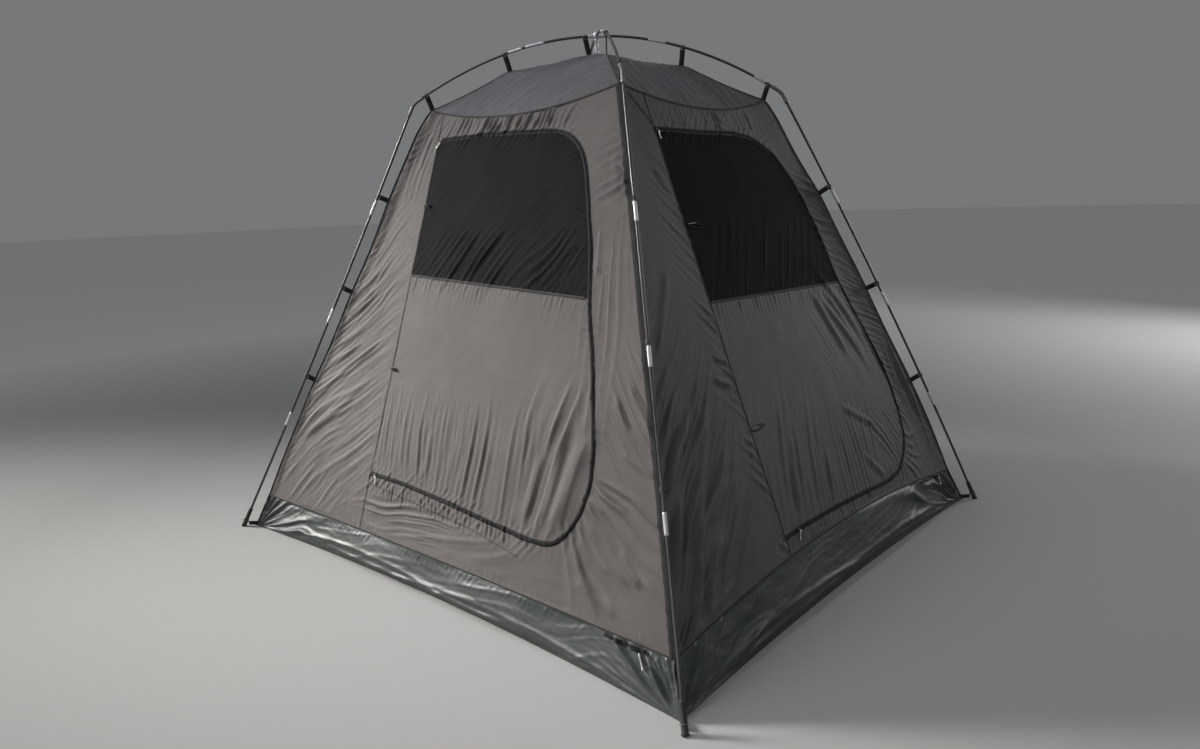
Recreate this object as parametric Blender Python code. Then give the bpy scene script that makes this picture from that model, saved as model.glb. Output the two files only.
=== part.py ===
"""Inner tent hung in its four-legged pole frame: two zipped doors, mesh windows and a bathtub floor.

The front wall faces -Y and the right wall +X. Every corner of the tent lies in a vertical plane
through the hub and that corner's leg, so poles, hips, corner seams and straps are drawn in that
plane as (reach, z), where reach is the distance from the centre line of the tent.
"""
import math

import bmesh
import bpy
from mathutils import Matrix, Vector

# Pole frame
FOOT_X, FOOT_Y = 1.20, 1.10
DIAGONAL = math.hypot(FOOT_X, FOOT_Y)
HUB_Z = 2.00
ARCH = 0.43
ELBOW_REACH = 0.742
ELBOW_Z = HUB_Z - ARCH * ELBOW_REACH ** 2
POLE_R, FERRULE_R, ELBOW_R = 0.005, 0.0063, 0.0070
FERRULE_LENGTH = 0.065
LEG_FERRULE_TOPS = {"front_left": (1.390, 0.950, 0.510), "front_right": (1.353, 0.944, 0.515),
                    "back_right": (1.374, 0.942, 0.498), "back_left": (1.374, 0.944, 0.510)}
ROOF_FERRULE_REACH = 0.207
ELBOW_ARM = 0.048
LEG_BOW = {"front_left": -0.010, "front_right": 0.006, "back_right": 0.022, "back_left": 0.006}
SOCKET_REACH, SOCKET_R = 0.032, 0.0068
HUB_R, HUB_HEIGHT = 0.0120, 0.022
STEM_R = 0.0105
BOOT_HEIGHT, BOOT_R, BOOT_TOP_R = 0.080, 0.0110, 0.0070

# Tent body
PEAK_Z = 1.93
ROOF_REACH = 0.674
ROOF_CORNER_Z = PEAK_Z - ARCH * ROOF_REACH ** 2
ROOF_SAG = 0.058
BAND_REACH, BAND_Z = 1.500, 0.140
FLOOR_REACH = 1.572
FABRIC_T = 0.004
GAP = 0.0003
SEAM_T, SEAM_OUT, SEAM_IN = 0.003, 0.009, 0.003
ROOF_PLACES = [i / 4 for i in range(-4, 5)]
BAND_PLACES = [i / 5 for i in range(-5, 6)]

# Corner straps
STRAP_WIDTH = 0.020
RING_R, RING_WIRE = 0.0070, 0.0015
STRAP_T = 0.0026
FOOT_RING_R, FOOT_RING_WIRE, FOOT_RING_Z = 0.0117, 0.0018, 0.026
FOOT_STRAP_WIDTH = 0.016
ROOF_STRAP_REACHES = {"front_left": (0.045, 0.366, 0.688), "front_right": (0.345, 0.688),
                      "back_right": (0.345, 0.688), "back_left": (0.345, 0.688)}
LEG_STRAP_HEIGHTS = {"front_left": (1.405, 1.038, 0.667), "front_right": (1.366, 0.956, 0.573),
                     "back_right": (1.387, 0.979, 0.576), "back_left": (1.390, 1.000, 0.600)}

# Doors, in each wall's own (across, z)
ZIP_GAP = 0.006
DOORS = {
    "front": {"hinge": -0.410, "low": 0.354, "high": 1.612, "low_corner": (0.752, 0.310), "low_round": 0.17,
              "high_corner": (0.384, 1.600), "high_round": 0.17, "mesh": (1.096, 1.055)},
    "right": {"hinge": -0.345, "low": 0.255, "high": 1.590, "low_corner": (0.810, 0.240), "low_round": 0.18,
              "high_corner": (0.440, 1.590), "high_round": 0.25, "mesh": (1.015, 1.000)},
}

# Each wall: how far its middle rises at the bathtub seam, and how far its floor edge bows inwards
WALLS = {
    "front": {"across": (1, 0), "outward": (0, -1), "half": (FOOT_X, FOOT_Y), "rise": 0.010, "bow": 0.050},
    "right": {"across": (0, 1), "outward": (1, 0), "half": (FOOT_Y, FOOT_X), "rise": 0.064, "bow": 0.035},
    "back": {"across": (-1, 0), "outward": (0, 1), "half": (FOOT_X, FOOT_Y), "rise": 0.020, "bow": 0.045},
    "left": {"across": (0, -1), "outward": (-1, 0), "half": (FOOT_Y, FOOT_X), "rise": 0.040, "bow": 0.040},
}
CORNERS = {"front_left": (-1, -1), "front_right": (1, -1), "back_right": (1, 1), "back_left": (-1, 1)}

COLOURS = {
    "wall_polyester": ((0.160, 0.145, 0.135), 0.62, 0.0),
    "roof_polyester": ((0.120, 0.115, 0.125), 0.60, 0.0),
    "window_mesh": ((0.022, 0.022, 0.026), 0.85, 0.0),
    "floor_polyethylene": ((0.085, 0.095, 0.092), 0.38, 0.0),
    "webbing": ((0.018, 0.018, 0.020), 0.75, 0.0),
    "pole_coating": ((0.045, 0.050, 0.062), 0.30, 0.4),
    "bright_metal": ((0.700, 0.700, 0.710), 0.28, 1.0),
    "black_rubber": ((0.015, 0.015, 0.016), 0.60, 0.0),
}


# Helpers that put things in the scene

def collection(name):
    made = bpy.data.collections.new(name)
    bpy.context.scene.collection.children.link(made)
    return made


def material(name):
    if name not in bpy.data.materials:
        colour, roughness, metallic = COLOURS[name]
        made = bpy.data.materials.new(name)
        made.use_nodes = True
        shader = made.node_tree.nodes["Principled BSDF"]
        shader.inputs["Base Color"].default_value = (*colour, 1.0)
        shader.inputs["Roughness"].default_value = roughness
        shader.inputs["Metallic"].default_value = metallic
    return bpy.data.materials[name]


def add_mesh(name, bm, finish, group):
    mesh = bpy.data.meshes.new(name)
    bm.to_mesh(mesh)
    bm.free()
    part = bpy.data.objects.new(name, mesh)
    part.data.materials.append(material(finish))
    group.objects.link(part)
    return part


def add_cutter(name, bm):
    part = add_mesh(name, bm, "webbing", CUTTERS)
    part.hide_render = True
    part.display_type = "WIRE"
    return part


def boolean(part, operation, other):
    step = part.modifiers.new(other.name, "BOOLEAN")
    step.operation = operation
    step.solver = "EXACT"
    step.object = other


def tube(name, points, radii, finish):
    """A curve through the points with a round section whose radius changes along it."""
    curve = bpy.data.curves.new(name, "CURVE")
    curve.dimensions = "3D"
    curve.bevel_depth = 1.0
    curve.bevel_resolution = 2
    curve.use_fill_caps = True
    spline = curve.splines.new("POLY")
    spline.points.add(len(points) - 1)
    for place, point, radius in zip(spline.points, points, radii):
        place.co = (*point, 1.0)
        place.radius = radius
    part = bpy.data.objects.new(name, curve)
    part.data.materials.append(material(finish))
    PARTS.objects.link(part)
    return part


# The two kinds of coordinates

def corner_point(corner, reach, z):
    """A point in a corner's vertical plane."""
    sx, sy = CORNERS[corner]
    return Vector((sx * FOOT_X * reach / DIAGONAL, sy * FOOT_Y * reach / DIAGONAL, z))


def wall_point(wall, across, outward, z):
    a, o = WALLS[wall]["across"], WALLS[wall]["outward"]
    return Vector((a[0] * across + o[0] * outward, a[1] * across + o[1] * outward, z))


def wall_reach(z):
    """Reach of the tent's corner seam, which is straight from the bathtub seam to the roof corner."""
    return BAND_REACH + (ROOF_REACH - BAND_REACH) * (z - BAND_Z) / (ROOF_CORNER_Z - BAND_Z)


def wall_outward(wall, z):
    return WALLS[wall]["half"][1] * wall_reach(z) / DIAGONAL


def mitre(wall, outward):
    """How far across a wall reaches at this distance outward, short of the corner seam's flange."""
    along, away = WALLS[wall]["half"]
    return (outward * along - (SEAM_T / 2 + GAP) * DIAGONAL) / away


def spread(start, end, step):
    """Numbers from start to end, both kept, no more than step apart."""
    count = max(1, math.ceil(abs(end - start) / step - 1e-9))
    return [start + (end - start) * i / count for i in range(count + 1)]


def roof_seam(wall):
    """Nodes (across, z) of the seam between wall and roof, which hangs between the corners as a parabola."""
    end = mitre(wall, wall_outward(wall, ROOF_CORNER_Z))
    return [(place * end, ROOF_CORNER_Z - ROOF_SAG * (1 - place ** 2)) for place in ROOF_PLACES]


def band_seam(wall):
    """Nodes (across, z) of the seam between wall and bathtub, which rises between the corners."""
    end = mitre(wall, wall_outward(wall, BAND_Z))
    return [(place * end, BAND_Z + WALLS[wall]["rise"] * (1 - place ** 2)) for place in BAND_PLACES]


def along_seam(nodes, start, end):
    """The part of a seam from start to end, left to right. A word for an end is that corner of the wall."""
    def height(across):
        for (a, low), (b, high) in zip(nodes, nodes[1:]):
            if a <= across <= b:
                return low + (high - low) * (across - a) / (b - a)
    first = nodes[0][0] if start == "left" else start
    last = nodes[-1][0] if end == "right" else end
    between = [node for node in nodes if first + 1e-6 < node[0] < last - 1e-6]
    return [(start, height(first))] + between + [(end, height(last))]


# Flat pieces of a wall

def slab(name, wall, outline, finish):
    """A wall piece FABRIC_T thick. Where a point's across is the word left or right, it lies on that corner."""
    bm = bmesh.new()
    faces = []
    for depth in (0.0, FABRIC_T):
        ring = []
        for across, z in outline:
            outward = wall_outward(wall, z) - depth
            if across in ("left", "right"):
                across = mitre(wall, outward) * (1 if across == "right" else -1)
            ring.append(bm.verts.new(wall_point(wall, across, outward, z)))
        faces.append(ring)
    outer, inner = faces
    bm.faces.new(outer)
    bm.faces.new(reversed(inner))
    for i, _ in enumerate(outer):
        j = (i + 1) % len(outer)
        bm.faces.new((outer[j], outer[i], inner[i], inner[j]))
    return add_mesh(name, bm, finish, PARTS)


def under_and_over(wall, start, end, top_start=None, top_end=None):
    """A piece's bottom edge along the bathtub seam, and its top edge along the roof seam, run back."""
    top = along_seam(roof_seam(wall), top_start or start, top_end or end)
    return along_seam(band_seam(wall), start, end), list(reversed(top))


def rounded(before, corner, after, radius, grow, count=7):
    """Points on the arc that rounds a corner. The arc's centre stays put as the outline grows."""
    p, q, n = Vector(corner), Vector(before), Vector(after)
    to_q, to_n = (q - p).normalized(), (n - p).normalized()
    half = to_q.angle(to_n) / 2
    centre = p + (to_q + to_n).normalized() * radius / math.sin(half)
    start = p + to_q * radius / math.tan(half) - centre
    end = p + to_n * radius / math.tan(half) - centre
    first = math.atan2(start.y, start.x)
    turn = (math.atan2(end.y, end.x) - first + math.pi) % (2 * math.pi) - math.pi
    angles = [first + turn * i / (count - 1) for i in range(count)]
    size = radius + grow
    return [(centre.x + size * math.cos(a), centre.y + size * math.sin(a)) for a in angles]


def door_arcs(door, grow):
    """The door's two rounded corners, the lower first, as lists of points."""
    low_hinge, high_hinge = (door["hinge"], door["low"]), (door["hinge"], door["high"])
    low = rounded(low_hinge, door["low_corner"], door["high_corner"], door["low_round"], grow)
    high = rounded(door["low_corner"], door["high_corner"], high_hinge, door["high_round"], grow)
    return low, high


def side_at(door, z):
    """Across of the door's straight free edge at a height."""
    (low_a, low_z), (high_a, high_z) = door["low_corner"], door["high_corner"]
    return low_a + (high_a - low_a) * (z - low_z) / (high_z - low_z)


def window_outline(door, grow):
    """The mesh half of a door, from its straight lower edge up round the free corner to the hinge side."""
    hinge_z, free_z = door["mesh"]
    edge = door["hinge"] + GAP / 2 - grow
    free = (side_at(door, free_z) + grow, free_z + GAP / 2 - grow)
    return [(edge, hinge_z + GAP / 2 - grow), free] + door_arcs(door, grow)[1] + [(edge, door["high"] + grow)]


def make_door(wall):
    door = DOORS[wall]
    edge = door["hinge"] + GAP / 2
    hinge_z, free_z = door["mesh"]
    panel = [(edge, door["low"])] + door_arcs(door, 0.0)[0]
    panel += [(side_at(door, free_z), free_z - GAP / 2), (edge, hinge_z - GAP / 2)]
    slab(f"{wall}_door_panel", wall, panel, "wall_polyester")
    slab(f"{wall}_door_mesh", wall, window_outline(door, 0.0), "window_mesh")


def make_doored_wall(wall):
    """The fabric round a door: a strip on the hinge side, one over the door, one past its zip and the sill."""
    door = DOORS[wall]
    low, high = door_arcs(door, ZIP_GAP)
    before, after = door["hinge"] - GAP / 2, door["hinge"] + GAP / 2
    (sill_end, sill_z), (header_end, header_z) = low[0], high[-1]
    strip_bottom, strip_top = under_and_over(wall, "left", before)
    slab(f"{wall}_wall_hinge_strip", wall, strip_bottom + strip_top, "wall_polyester")
    zip_bottom, zip_top = under_and_over(wall, sill_end + GAP / 2, "right", top_start=header_end + GAP / 2)
    zip_side = [(header_end + GAP / 2, header_z)] + list(reversed(high[:-1])) + list(reversed(low[1:]))
    slab(f"{wall}_wall_zip_strip", wall,
         zip_bottom + zip_top + zip_side + [(sill_end + GAP / 2, sill_z)], "wall_polyester")
    sill_bottom, header_top = under_and_over(wall, after, sill_end - GAP / 2, top_end=header_end - GAP / 2)
    slab(f"{wall}_wall_sill", wall,
         sill_bottom + [(sill_end - GAP / 2, sill_z), (after, door["low"] - ZIP_GAP)], "wall_polyester")
    slab(f"{wall}_wall_header", wall,
         [(after, door["high"] + ZIP_GAP), (header_end - GAP / 2, header_z)] + header_top, "wall_polyester")


def make_plain_wall(wall, like):
    """An unseen side: the same D-shaped mesh window as the door of the wall it faces, sewn in for good."""
    bottom, top = under_and_over(wall, "left", "right")
    body = slab(f"{wall}_wall", wall, bottom + top, "wall_polyester")
    bm = bmesh.new()
    rings = []
    for depth in (-0.05, 0.05):
        rings.append([bm.verts.new(wall_point(wall, across, wall_outward(wall, z) - depth, z))
                      for across, z in window_outline(DOORS[like], GAP)])
    bm.faces.new(rings[0])
    bm.faces.new(reversed(rings[1]))
    for i, _ in enumerate(rings[0]):
        j = (i + 1) % len(rings[0])
        bm.faces.new((rings[0][j], rings[0][i], rings[1][i], rings[1][j]))
    boolean(body, "DIFFERENCE", add_cutter(f"{wall}_window_cutter", bm))
    slab(f"{wall}_window_mesh", wall, window_outline(DOORS[like], 0.0), "window_mesh")


# Roof, bathtub and floor

def sheet(name, outer, inner, finish):
    """Two grids of points, the outer and inner faces of a shaped panel, closed round their rims."""
    bm = bmesh.new()
    top = [[bm.verts.new(point) for point in row] for row in outer]
    under = [[bm.verts.new(point) for point in row] for row in inner]
    last_row, last = len(outer) - 1, len(outer[0]) - 1
    for r in range(last_row):
        for c in range(last):
            bm.faces.new((top[r][c], top[r][c + 1], top[r + 1][c + 1], top[r + 1][c]))
            bm.faces.new((under[r][c], under[r + 1][c], under[r + 1][c + 1], under[r][c + 1]))
    rim = [(0, c) for c in range(last)] + [(r, last) for r in range(last_row)]
    rim += [(last_row, c) for c in range(last, 0, -1)] + [(r, 0) for r in range(last_row, 0, -1)]
    for (r, c), (s, d) in zip(rim, rim[1:] + rim[:1]):
        bm.faces.new((top[s][d], top[r][c], under[r][c], under[s][d]))
    bmesh.ops.recalc_face_normals(bm, faces=bm.faces[:])
    return add_mesh(name, bm, finish, PARTS)


def make_roof(wall):
    """One roof panel: its hips follow the arch of the poles and its free edge sags along the wall's seam."""
    rows = []
    for share in spread(0.012, 1.0, 0.165):
        hip = share * wall_outward(wall, ROOF_CORNER_Z)
        row = []
        for place, (_, edge_z) in zip(ROOF_PLACES, roof_seam(wall)):
            sag = ROOF_SAG * share ** 2 * (1 - place ** 2)
            z = PEAK_Z - ARCH * (share * ROOF_REACH) ** 2 - sag + FABRIC_T + GAP
            row.append(wall_point(wall, place * mitre(wall, hip), share * wall_outward(wall, edge_z), z))
        rows.append(row)
    under = [[point - Vector((0, 0, FABRIC_T)) for point in row] for row in rows]
    sheet(f"{wall}_roof", rows, under, "roof_polyester")


def bathtub_face(wall, depth):
    """Three rows across a face of the bathtub's side: on the ground, at the floor's top, and along the seam."""
    floor, low, band = [], [], []
    corner_outward = WALLS[wall]["half"][1] * FLOOR_REACH / DIAGONAL
    for place, (across, seam_z) in zip(BAND_PLACES, band_seam(wall)):
        foot = corner_outward - WALLS[wall]["bow"] * (1 - place ** 2) - depth
        top = wall_outward(wall, seam_z) - depth
        if abs(place) == 1.0:
            across = place * mitre(wall, top)
        floor.append(wall_point(wall, place * mitre(wall, corner_outward - depth), foot, 0.0))
        band.append(wall_point(wall, across, top, seam_z - GAP))
        low.append(floor[-1].lerp(band[-1], FABRIC_T / band[-1].z))
    return [floor, low, band]


def make_groundsheet():
    """The floor lies inside the bathtub's sides and ends short of the corner seams."""
    bm = bmesh.new()
    outline = []
    corner_reach = FLOOR_REACH - (FLOOR_REACH - BAND_REACH) * FABRIC_T / BAND_Z
    corner_reach -= (FABRIC_T + GAP) * DIAGONAL / FOOT_Y
    for wall, corner in zip(WALLS, CORNERS):
        outline.append(corner_point(corner, corner_reach, 0.0))
        outline += [Vector((p.x, p.y, 0.0)) for p in bathtub_face(wall, FABRIC_T + GAP)[1][1:-1]]
    face = bm.faces.new([bm.verts.new(point) for point in outline])
    grown = bmesh.ops.extrude_face_region(bm, geom=[face])["geom"]
    bmesh.ops.translate(bm, verts=[v for v in grown if isinstance(v, bmesh.types.BMVert)], vec=(0, 0, FABRIC_T))
    bmesh.ops.recalc_face_normals(bm, faces=bm.faces[:])
    add_mesh("groundsheet", bm, "floor_polyethylene", PARTS)


# Pole frame

def arch_z(reach):
    return HUB_Z - ARCH * reach ** 2


def leg_point(corner, z):
    """Reach of a leg at a height: straight from elbow to foot, plus the bend that it stands in."""
    share = 1 - z / ELBOW_Z
    return ELBOW_REACH + (DIAGONAL - ELBOW_REACH) * share + LEG_BOW[corner] * 4 * share * (1 - share)


def leg_direction():
    return Vector((DIAGONAL - ELBOW_REACH, -ELBOW_Z)).normalized()


def stepped(samples, ferrules):
    """Samples and ferrule ends in order, with a pair of radii at each step; both run the same way."""
    stops = [(s, POLE_R) for s in samples if all(not low <= s <= high for low, high in ferrules)]
    for low, high in ferrules:
        stops += [(low - GAP, POLE_R), (low, FERRULE_R), (high, FERRULE_R), (high + GAP, POLE_R)]
    return sorted(stops)


def make_pole(corner):
    bend = corner_point(corner, ELBOW_REACH, ELBOW_Z)
    down = leg_direction()
    up = Vector((1.0, -2 * ARCH * ELBOW_REACH)).normalized()
    arm_reach = ELBOW_REACH - ELBOW_ARM * up.x
    low_z = ELBOW_Z + ELBOW_ARM * down.y
    roof_ferrule = (ROOF_FERRULE_REACH, ROOF_FERRULE_REACH + FERRULE_LENGTH)
    stops = stepped(spread(SOCKET_REACH + GAP, arm_reach - GAP, 0.08), [roof_ferrule])
    tube(f"{corner}_roof_pole", [corner_point(corner, s, arch_z(s)) for s, _ in stops],
         [r for _, r in stops], "pole_coating")
    upper = corner_point(corner, arm_reach, arch_z(arm_reach))
    lower = corner_point(corner, leg_point(corner, low_z), low_z)
    near_upper, near_lower = upper.lerp(bend, 0.7), lower.lerp(bend, 0.7)
    curve = [near_upper.lerp(bend, t).lerp(bend.lerp(near_lower, t), t) for t in spread(0.0, 1.0, 0.34)]
    ends = [upper] + curve + [lower]
    tube(f"{corner}_elbow", ends, [ELBOW_R] * len(ends), "bright_metal")
    drop = FERRULE_LENGTH * -down.y
    ferrules = [(top - drop, top) for top in LEG_FERRULE_TOPS[corner]]
    samples = [BOOT_HEIGHT + GAP] + spread(0.12, low_z - 0.04, 0.30) + [low_z - GAP]
    stops = stepped(samples, ferrules)
    tube(f"{corner}_leg_pole", [corner_point(corner, leg_point(corner, s), s) for s, _ in stops],
         [r for _, r in stops], "pole_coating")
    make_boot(corner)


def make_boot(corner):
    """A rubber boot on the foot of the leg, its sole cut level with the ground."""
    foot = corner_point(corner, DIAGONAL, 0.0)
    leg = corner_point(corner, leg_point(corner, BOOT_HEIGHT), BOOT_HEIGHT) - foot
    sunk = 2 * BOOT_R
    bm = bmesh.new()
    bmesh.ops.create_cone(bm, cap_ends=True, segments=12, radius1=BOOT_R, radius2=BOOT_TOP_R,
                          depth=leg.length + sunk)
    bmesh.ops.translate(bm, verts=bm.verts[:], vec=(0, 0, (leg.length - sunk) / 2))
    bmesh.ops.transform(bm, matrix=leg.to_track_quat("Z", "Y").to_matrix().to_4x4(), verts=bm.verts[:])
    bmesh.ops.translate(bm, verts=bm.verts[:], vec=foot)
    bmesh.ops.bisect_plane(bm, geom=bm.verts[:] + bm.edges[:] + bm.faces[:], plane_co=(0, 0, 0),
                           plane_no=(0, 0, -1), clear_outer=True)
    bmesh.ops.holes_fill(bm, edges=bm.edges[:])
    bmesh.ops.recalc_face_normals(bm, faces=bm.faces[:])
    add_mesh(f"{corner}_boot", bm, "black_rubber", PARTS)


def make_hub():
    """The hub is a turned knob with a through socket along each diagonal."""
    bm = bmesh.new()
    bmesh.ops.create_cone(bm, cap_ends=True, segments=20, radius1=HUB_R, radius2=HUB_R, depth=HUB_HEIGHT)
    bmesh.ops.translate(bm, verts=bm.verts[:], vec=(0, 0, HUB_Z))
    hub = add_mesh("hub", bm, "bright_metal", PARTS)
    for name, corner in (("first", "front_right"), ("second", "back_right")):
        bm = bmesh.new()
        bmesh.ops.create_cone(bm, cap_ends=True, segments=12, radius1=SOCKET_R, radius2=SOCKET_R,
                              depth=2 * SOCKET_REACH)
        turn = corner_point(corner, 1.0, 0.0).to_track_quat("Z", "Y").to_matrix().to_4x4()
        bmesh.ops.transform(bm, matrix=Matrix.Translation((0, 0, HUB_Z)) @ turn, verts=bm.verts[:])
        boolean(hub, "UNION", add_cutter(f"hub_{name}_socket", bm))
    bottom, top = PEAK_Z + SEAM_OUT + GAP, HUB_Z - HUB_HEIGHT / 2 - GAP
    bm = bmesh.new()
    bmesh.ops.create_cone(bm, cap_ends=True, segments=16, radius1=STEM_R, radius2=STEM_R, depth=top - bottom)
    bmesh.ops.translate(bm, verts=bm.verts[:], vec=(0, 0, (top + bottom) / 2))
    add_mesh("hub_stem", bm, "bright_metal", PARTS)


# Webbing: corner seam flange, straps and rings

def seam_path():
    """The tent's corner line from the peak to the floor corner, as (reach, z)."""
    hip = [(reach, PEAK_Z - ARCH * reach ** 2) for reach in spread(0.003, ROOF_REACH, 0.11)]
    return hip + [(BAND_REACH, BAND_Z), (FLOOR_REACH, 0.002)]


def offset(path, distance):
    """The path moved to its left by a distance, mitred where it bends."""
    points = [Vector(p) for p in path]
    moved = []
    for i, p in enumerate(points):
        before = (p - points[i - 1]).normalized() if i else (points[1] - p).normalized()
        after = (points[i + 1] - p).normalized() if i < len(points) - 1 else before
        sides = Vector((-before.y, before.x)), Vector((-after.y, after.x))
        middle = (sides[0] + sides[1]).normalized()
        moved.append(p + middle * distance / middle.dot(sides[0]))
    return moved


def in_plane(corner):
    """Matrix from a corner's (reach, z, sideways) to world."""
    out = corner_point(corner, 1.0, 0.0)
    up = Vector((0, 0, 1))
    side = out.cross(up)
    return Matrix((out, up, side)).transposed().to_4x4()


def add_plate(bm, corner, outline, thickness):
    """A flat plate in the corner's plane, centred on it."""
    face = bm.faces.new([bm.verts.new((reach, z, -thickness / 2)) for reach, z in outline])
    grown = bmesh.ops.extrude_face_region(bm, geom=[face])["geom"]
    added = [v for v in grown if isinstance(v, bmesh.types.BMVert)]
    bmesh.ops.translate(bm, verts=added, vec=(0, 0, thickness))
    bmesh.ops.transform(bm, matrix=in_plane(corner), verts=added + face.verts[:])


def strap_outline(start, end, width):
    a, b = Vector(start), Vector(end)
    run = (b - a).normalized()
    side = Vector((-run.y, run.x)) * width / 2
    return (a - side, b - side, b + side, a + side)


def nearest_on_seam(point):
    """The point of the tent's corner line that lies nearest, which is where a strap is sewn."""
    path = [Vector(p) for p in seam_path()]
    target = Vector(point)
    best = None
    for a, b in zip(path, path[1:]):
        share = max(0.0, min(1.0, (target - a).dot(b - a) / (b - a).length_squared))
        place = a.lerp(b, share)
        if best is None or (place - target).length < (best - target).length:
            best = place
    return best


def strap_places(corner):
    """Every strap of a corner: the pole's centre, its direction, ring size, ring wire, and the strap's outline."""
    places = []
    poles = [((reach, arch_z(reach)), (1.0, -2 * ARCH * reach)) for reach in ROOF_STRAP_REACHES[corner]]
    poles += [((leg_point(corner, z), z), leg_direction()) for z in LEG_STRAP_HEIGHTS[corner]]
    for centre, direction in poles:
        centre = Vector(centre)
        seam = nearest_on_seam(centre)
        end = centre + (seam - centre).normalized() * RING_R
        places.append((centre, direction, RING_R, RING_WIRE, strap_outline(seam, end, STRAP_WIDTH)))
    centre = Vector((leg_point(corner, FOOT_RING_Z), FOOT_RING_Z))
    ends = (FLOOR_REACH - 0.004, 0.012), (centre.x - FOOT_RING_R, 0.014)
    places.append((centre, leg_direction(), FOOT_RING_R, FOOT_RING_WIRE, strap_outline(*ends, FOOT_STRAP_WIDTH)))
    return places


def make_webbing(corner):
    """One corner's webbing: the flange of the corner seam with the straps and pole rings sewn to it."""
    path = seam_path()
    outline = offset(path, SEAM_OUT) + list(reversed(offset(path, -SEAM_IN)))
    bm = bmesh.new()
    add_plate(bm, corner, [tuple(p) for p in outline], SEAM_T)
    bmesh.ops.recalc_face_normals(bm, faces=bm.faces[:])
    webbing = add_mesh(f"{corner}_webbing", bm, "webbing", PARTS)
    straps, rings = bmesh.new(), bmesh.new()
    for centre, direction, ring_r, wire, outline in strap_places(corner):
        add_plate(straps, corner, [tuple(p) for p in outline], STRAP_T)
        bpy.ops.mesh.primitive_torus_add(major_radius=ring_r, minor_radius=wire, major_segments=12, minor_segments=5)
        ring = bpy.context.object
        along = in_plane(corner).to_3x3() @ Vector((*direction, 0.0))
        turn = along.to_track_quat("Z", "Y").to_matrix().to_4x4()
        before = len(rings.verts)
        rings.from_mesh(ring.data)
        bmesh.ops.transform(rings, matrix=Matrix.Translation(corner_point(corner, *centre)) @ turn,
                            verts=rings.verts[before:])
        bpy.data.objects.remove(ring)
    bmesh.ops.recalc_face_normals(straps, faces=straps.faces[:])
    boolean(webbing, "UNION", add_cutter(f"{corner}_straps", straps))
    boolean(webbing, "UNION", add_cutter(f"{corner}_rings", rings))


for old in list(bpy.data.objects):
    bpy.data.objects.remove(old)
PARTS = collection("inner_tent")
CUTTERS = collection("cutters")

make_groundsheet()
for side in WALLS:
    sheet(f"bathtub_{side}", bathtub_face(side, 0.0), bathtub_face(side, FABRIC_T), "floor_polyethylene")
    make_roof(side)
for side in DOORS:
    make_doored_wall(side)
    make_door(side)
make_plain_wall("back", "front")
make_plain_wall("left", "right")
for corner_name in CORNERS:
    make_pole(corner_name)
    make_webbing(corner_name)
make_hub()
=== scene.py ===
# %% [markdown]
# # An inner tent, dressed from its plain solids
# The real object is a dark polyester tent hung by straps inside its own frame of two crossing arched poles.
# The solids already have every size right, so this lesson only works on looks: cloth that is pulled and
# puckered by its seams, zips, webbing and metal. Each step first says what the thing is, then how it could
# be made, and then builds it.

# %% Load the solids
import math

import bpy
import numpy as np
from mathutils import Matrix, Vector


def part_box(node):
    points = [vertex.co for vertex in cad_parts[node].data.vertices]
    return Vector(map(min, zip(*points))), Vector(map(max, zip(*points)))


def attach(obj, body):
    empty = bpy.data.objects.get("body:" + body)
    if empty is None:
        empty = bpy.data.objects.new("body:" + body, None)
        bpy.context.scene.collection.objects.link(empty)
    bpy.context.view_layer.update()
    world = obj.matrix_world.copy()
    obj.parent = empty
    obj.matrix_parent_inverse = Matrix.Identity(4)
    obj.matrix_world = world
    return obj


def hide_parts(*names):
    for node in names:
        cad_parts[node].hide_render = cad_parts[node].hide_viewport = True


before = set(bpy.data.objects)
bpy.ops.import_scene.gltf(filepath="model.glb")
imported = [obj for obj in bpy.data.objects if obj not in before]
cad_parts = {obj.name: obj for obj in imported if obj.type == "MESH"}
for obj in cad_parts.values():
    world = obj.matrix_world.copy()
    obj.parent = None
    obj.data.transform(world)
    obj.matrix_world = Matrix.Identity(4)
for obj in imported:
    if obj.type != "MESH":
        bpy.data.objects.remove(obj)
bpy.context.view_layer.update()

# %% [markdown]
# ## Camera and light
# The camera stands where the photograph was taken: held at chest height, a little to the right of the corner
# that faces it. Its place was solved from points on the poles and seams. One light with a narrow beam, to the
# left, makes the folds of the front wall readable and leaves the right wall dark, as the low sun did.

# %% Camera
eye = bpy.data.objects.new("camera", bpy.data.cameras.new("camera"))
bpy.context.scene.collection.objects.link(eye)
eye.data.sensor_width, eye.data.lens, eye.data.clip_end = 36.0, 25.45, 200.0
right, up, forward = (0.74905, 0.66172, -0.03255), (-0.10943, 0.17203, 0.97900), (-0.65342, 0.72975, -0.20127)
held_at = (2.3635, -2.6828, 1.3611)
rows = [[right[i], up[i], -forward[i], held_at[i]] for i in range(3)]
eye.matrix_world = Matrix([*rows, [0, 0, 0, 1]])
bpy.context.scene.camera = eye
bpy.context.scene.view_settings.view_transform = "Standard"
print("camera at", [round(v, 3) for v in eye.matrix_world.translation])


# %% Light
def softbox(name, place, target, size, watts, colour, beam=180):
    """A square area light at a place, turned so that it looks at the target; beam is the spread of its grid."""
    lamp = bpy.data.objects.new(name, bpy.data.lights.new(name, "AREA"))
    bpy.context.scene.collection.objects.link(lamp)
    lamp.data.size, lamp.data.energy, lamp.data.color = size, watts, colour
    lamp.data.spread = math.radians(beam)
    away = np.array(place, float) - target
    away /= np.linalg.norm(away)
    side = np.cross((0, 0, 1), away)
    side /= np.linalg.norm(side)
    rows = np.stack([side, np.cross(away, side), away, place], 1)
    lamp.matrix_world = Matrix([*rows.tolist(), [0, 0, 0, 1]])
    return lamp


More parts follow.
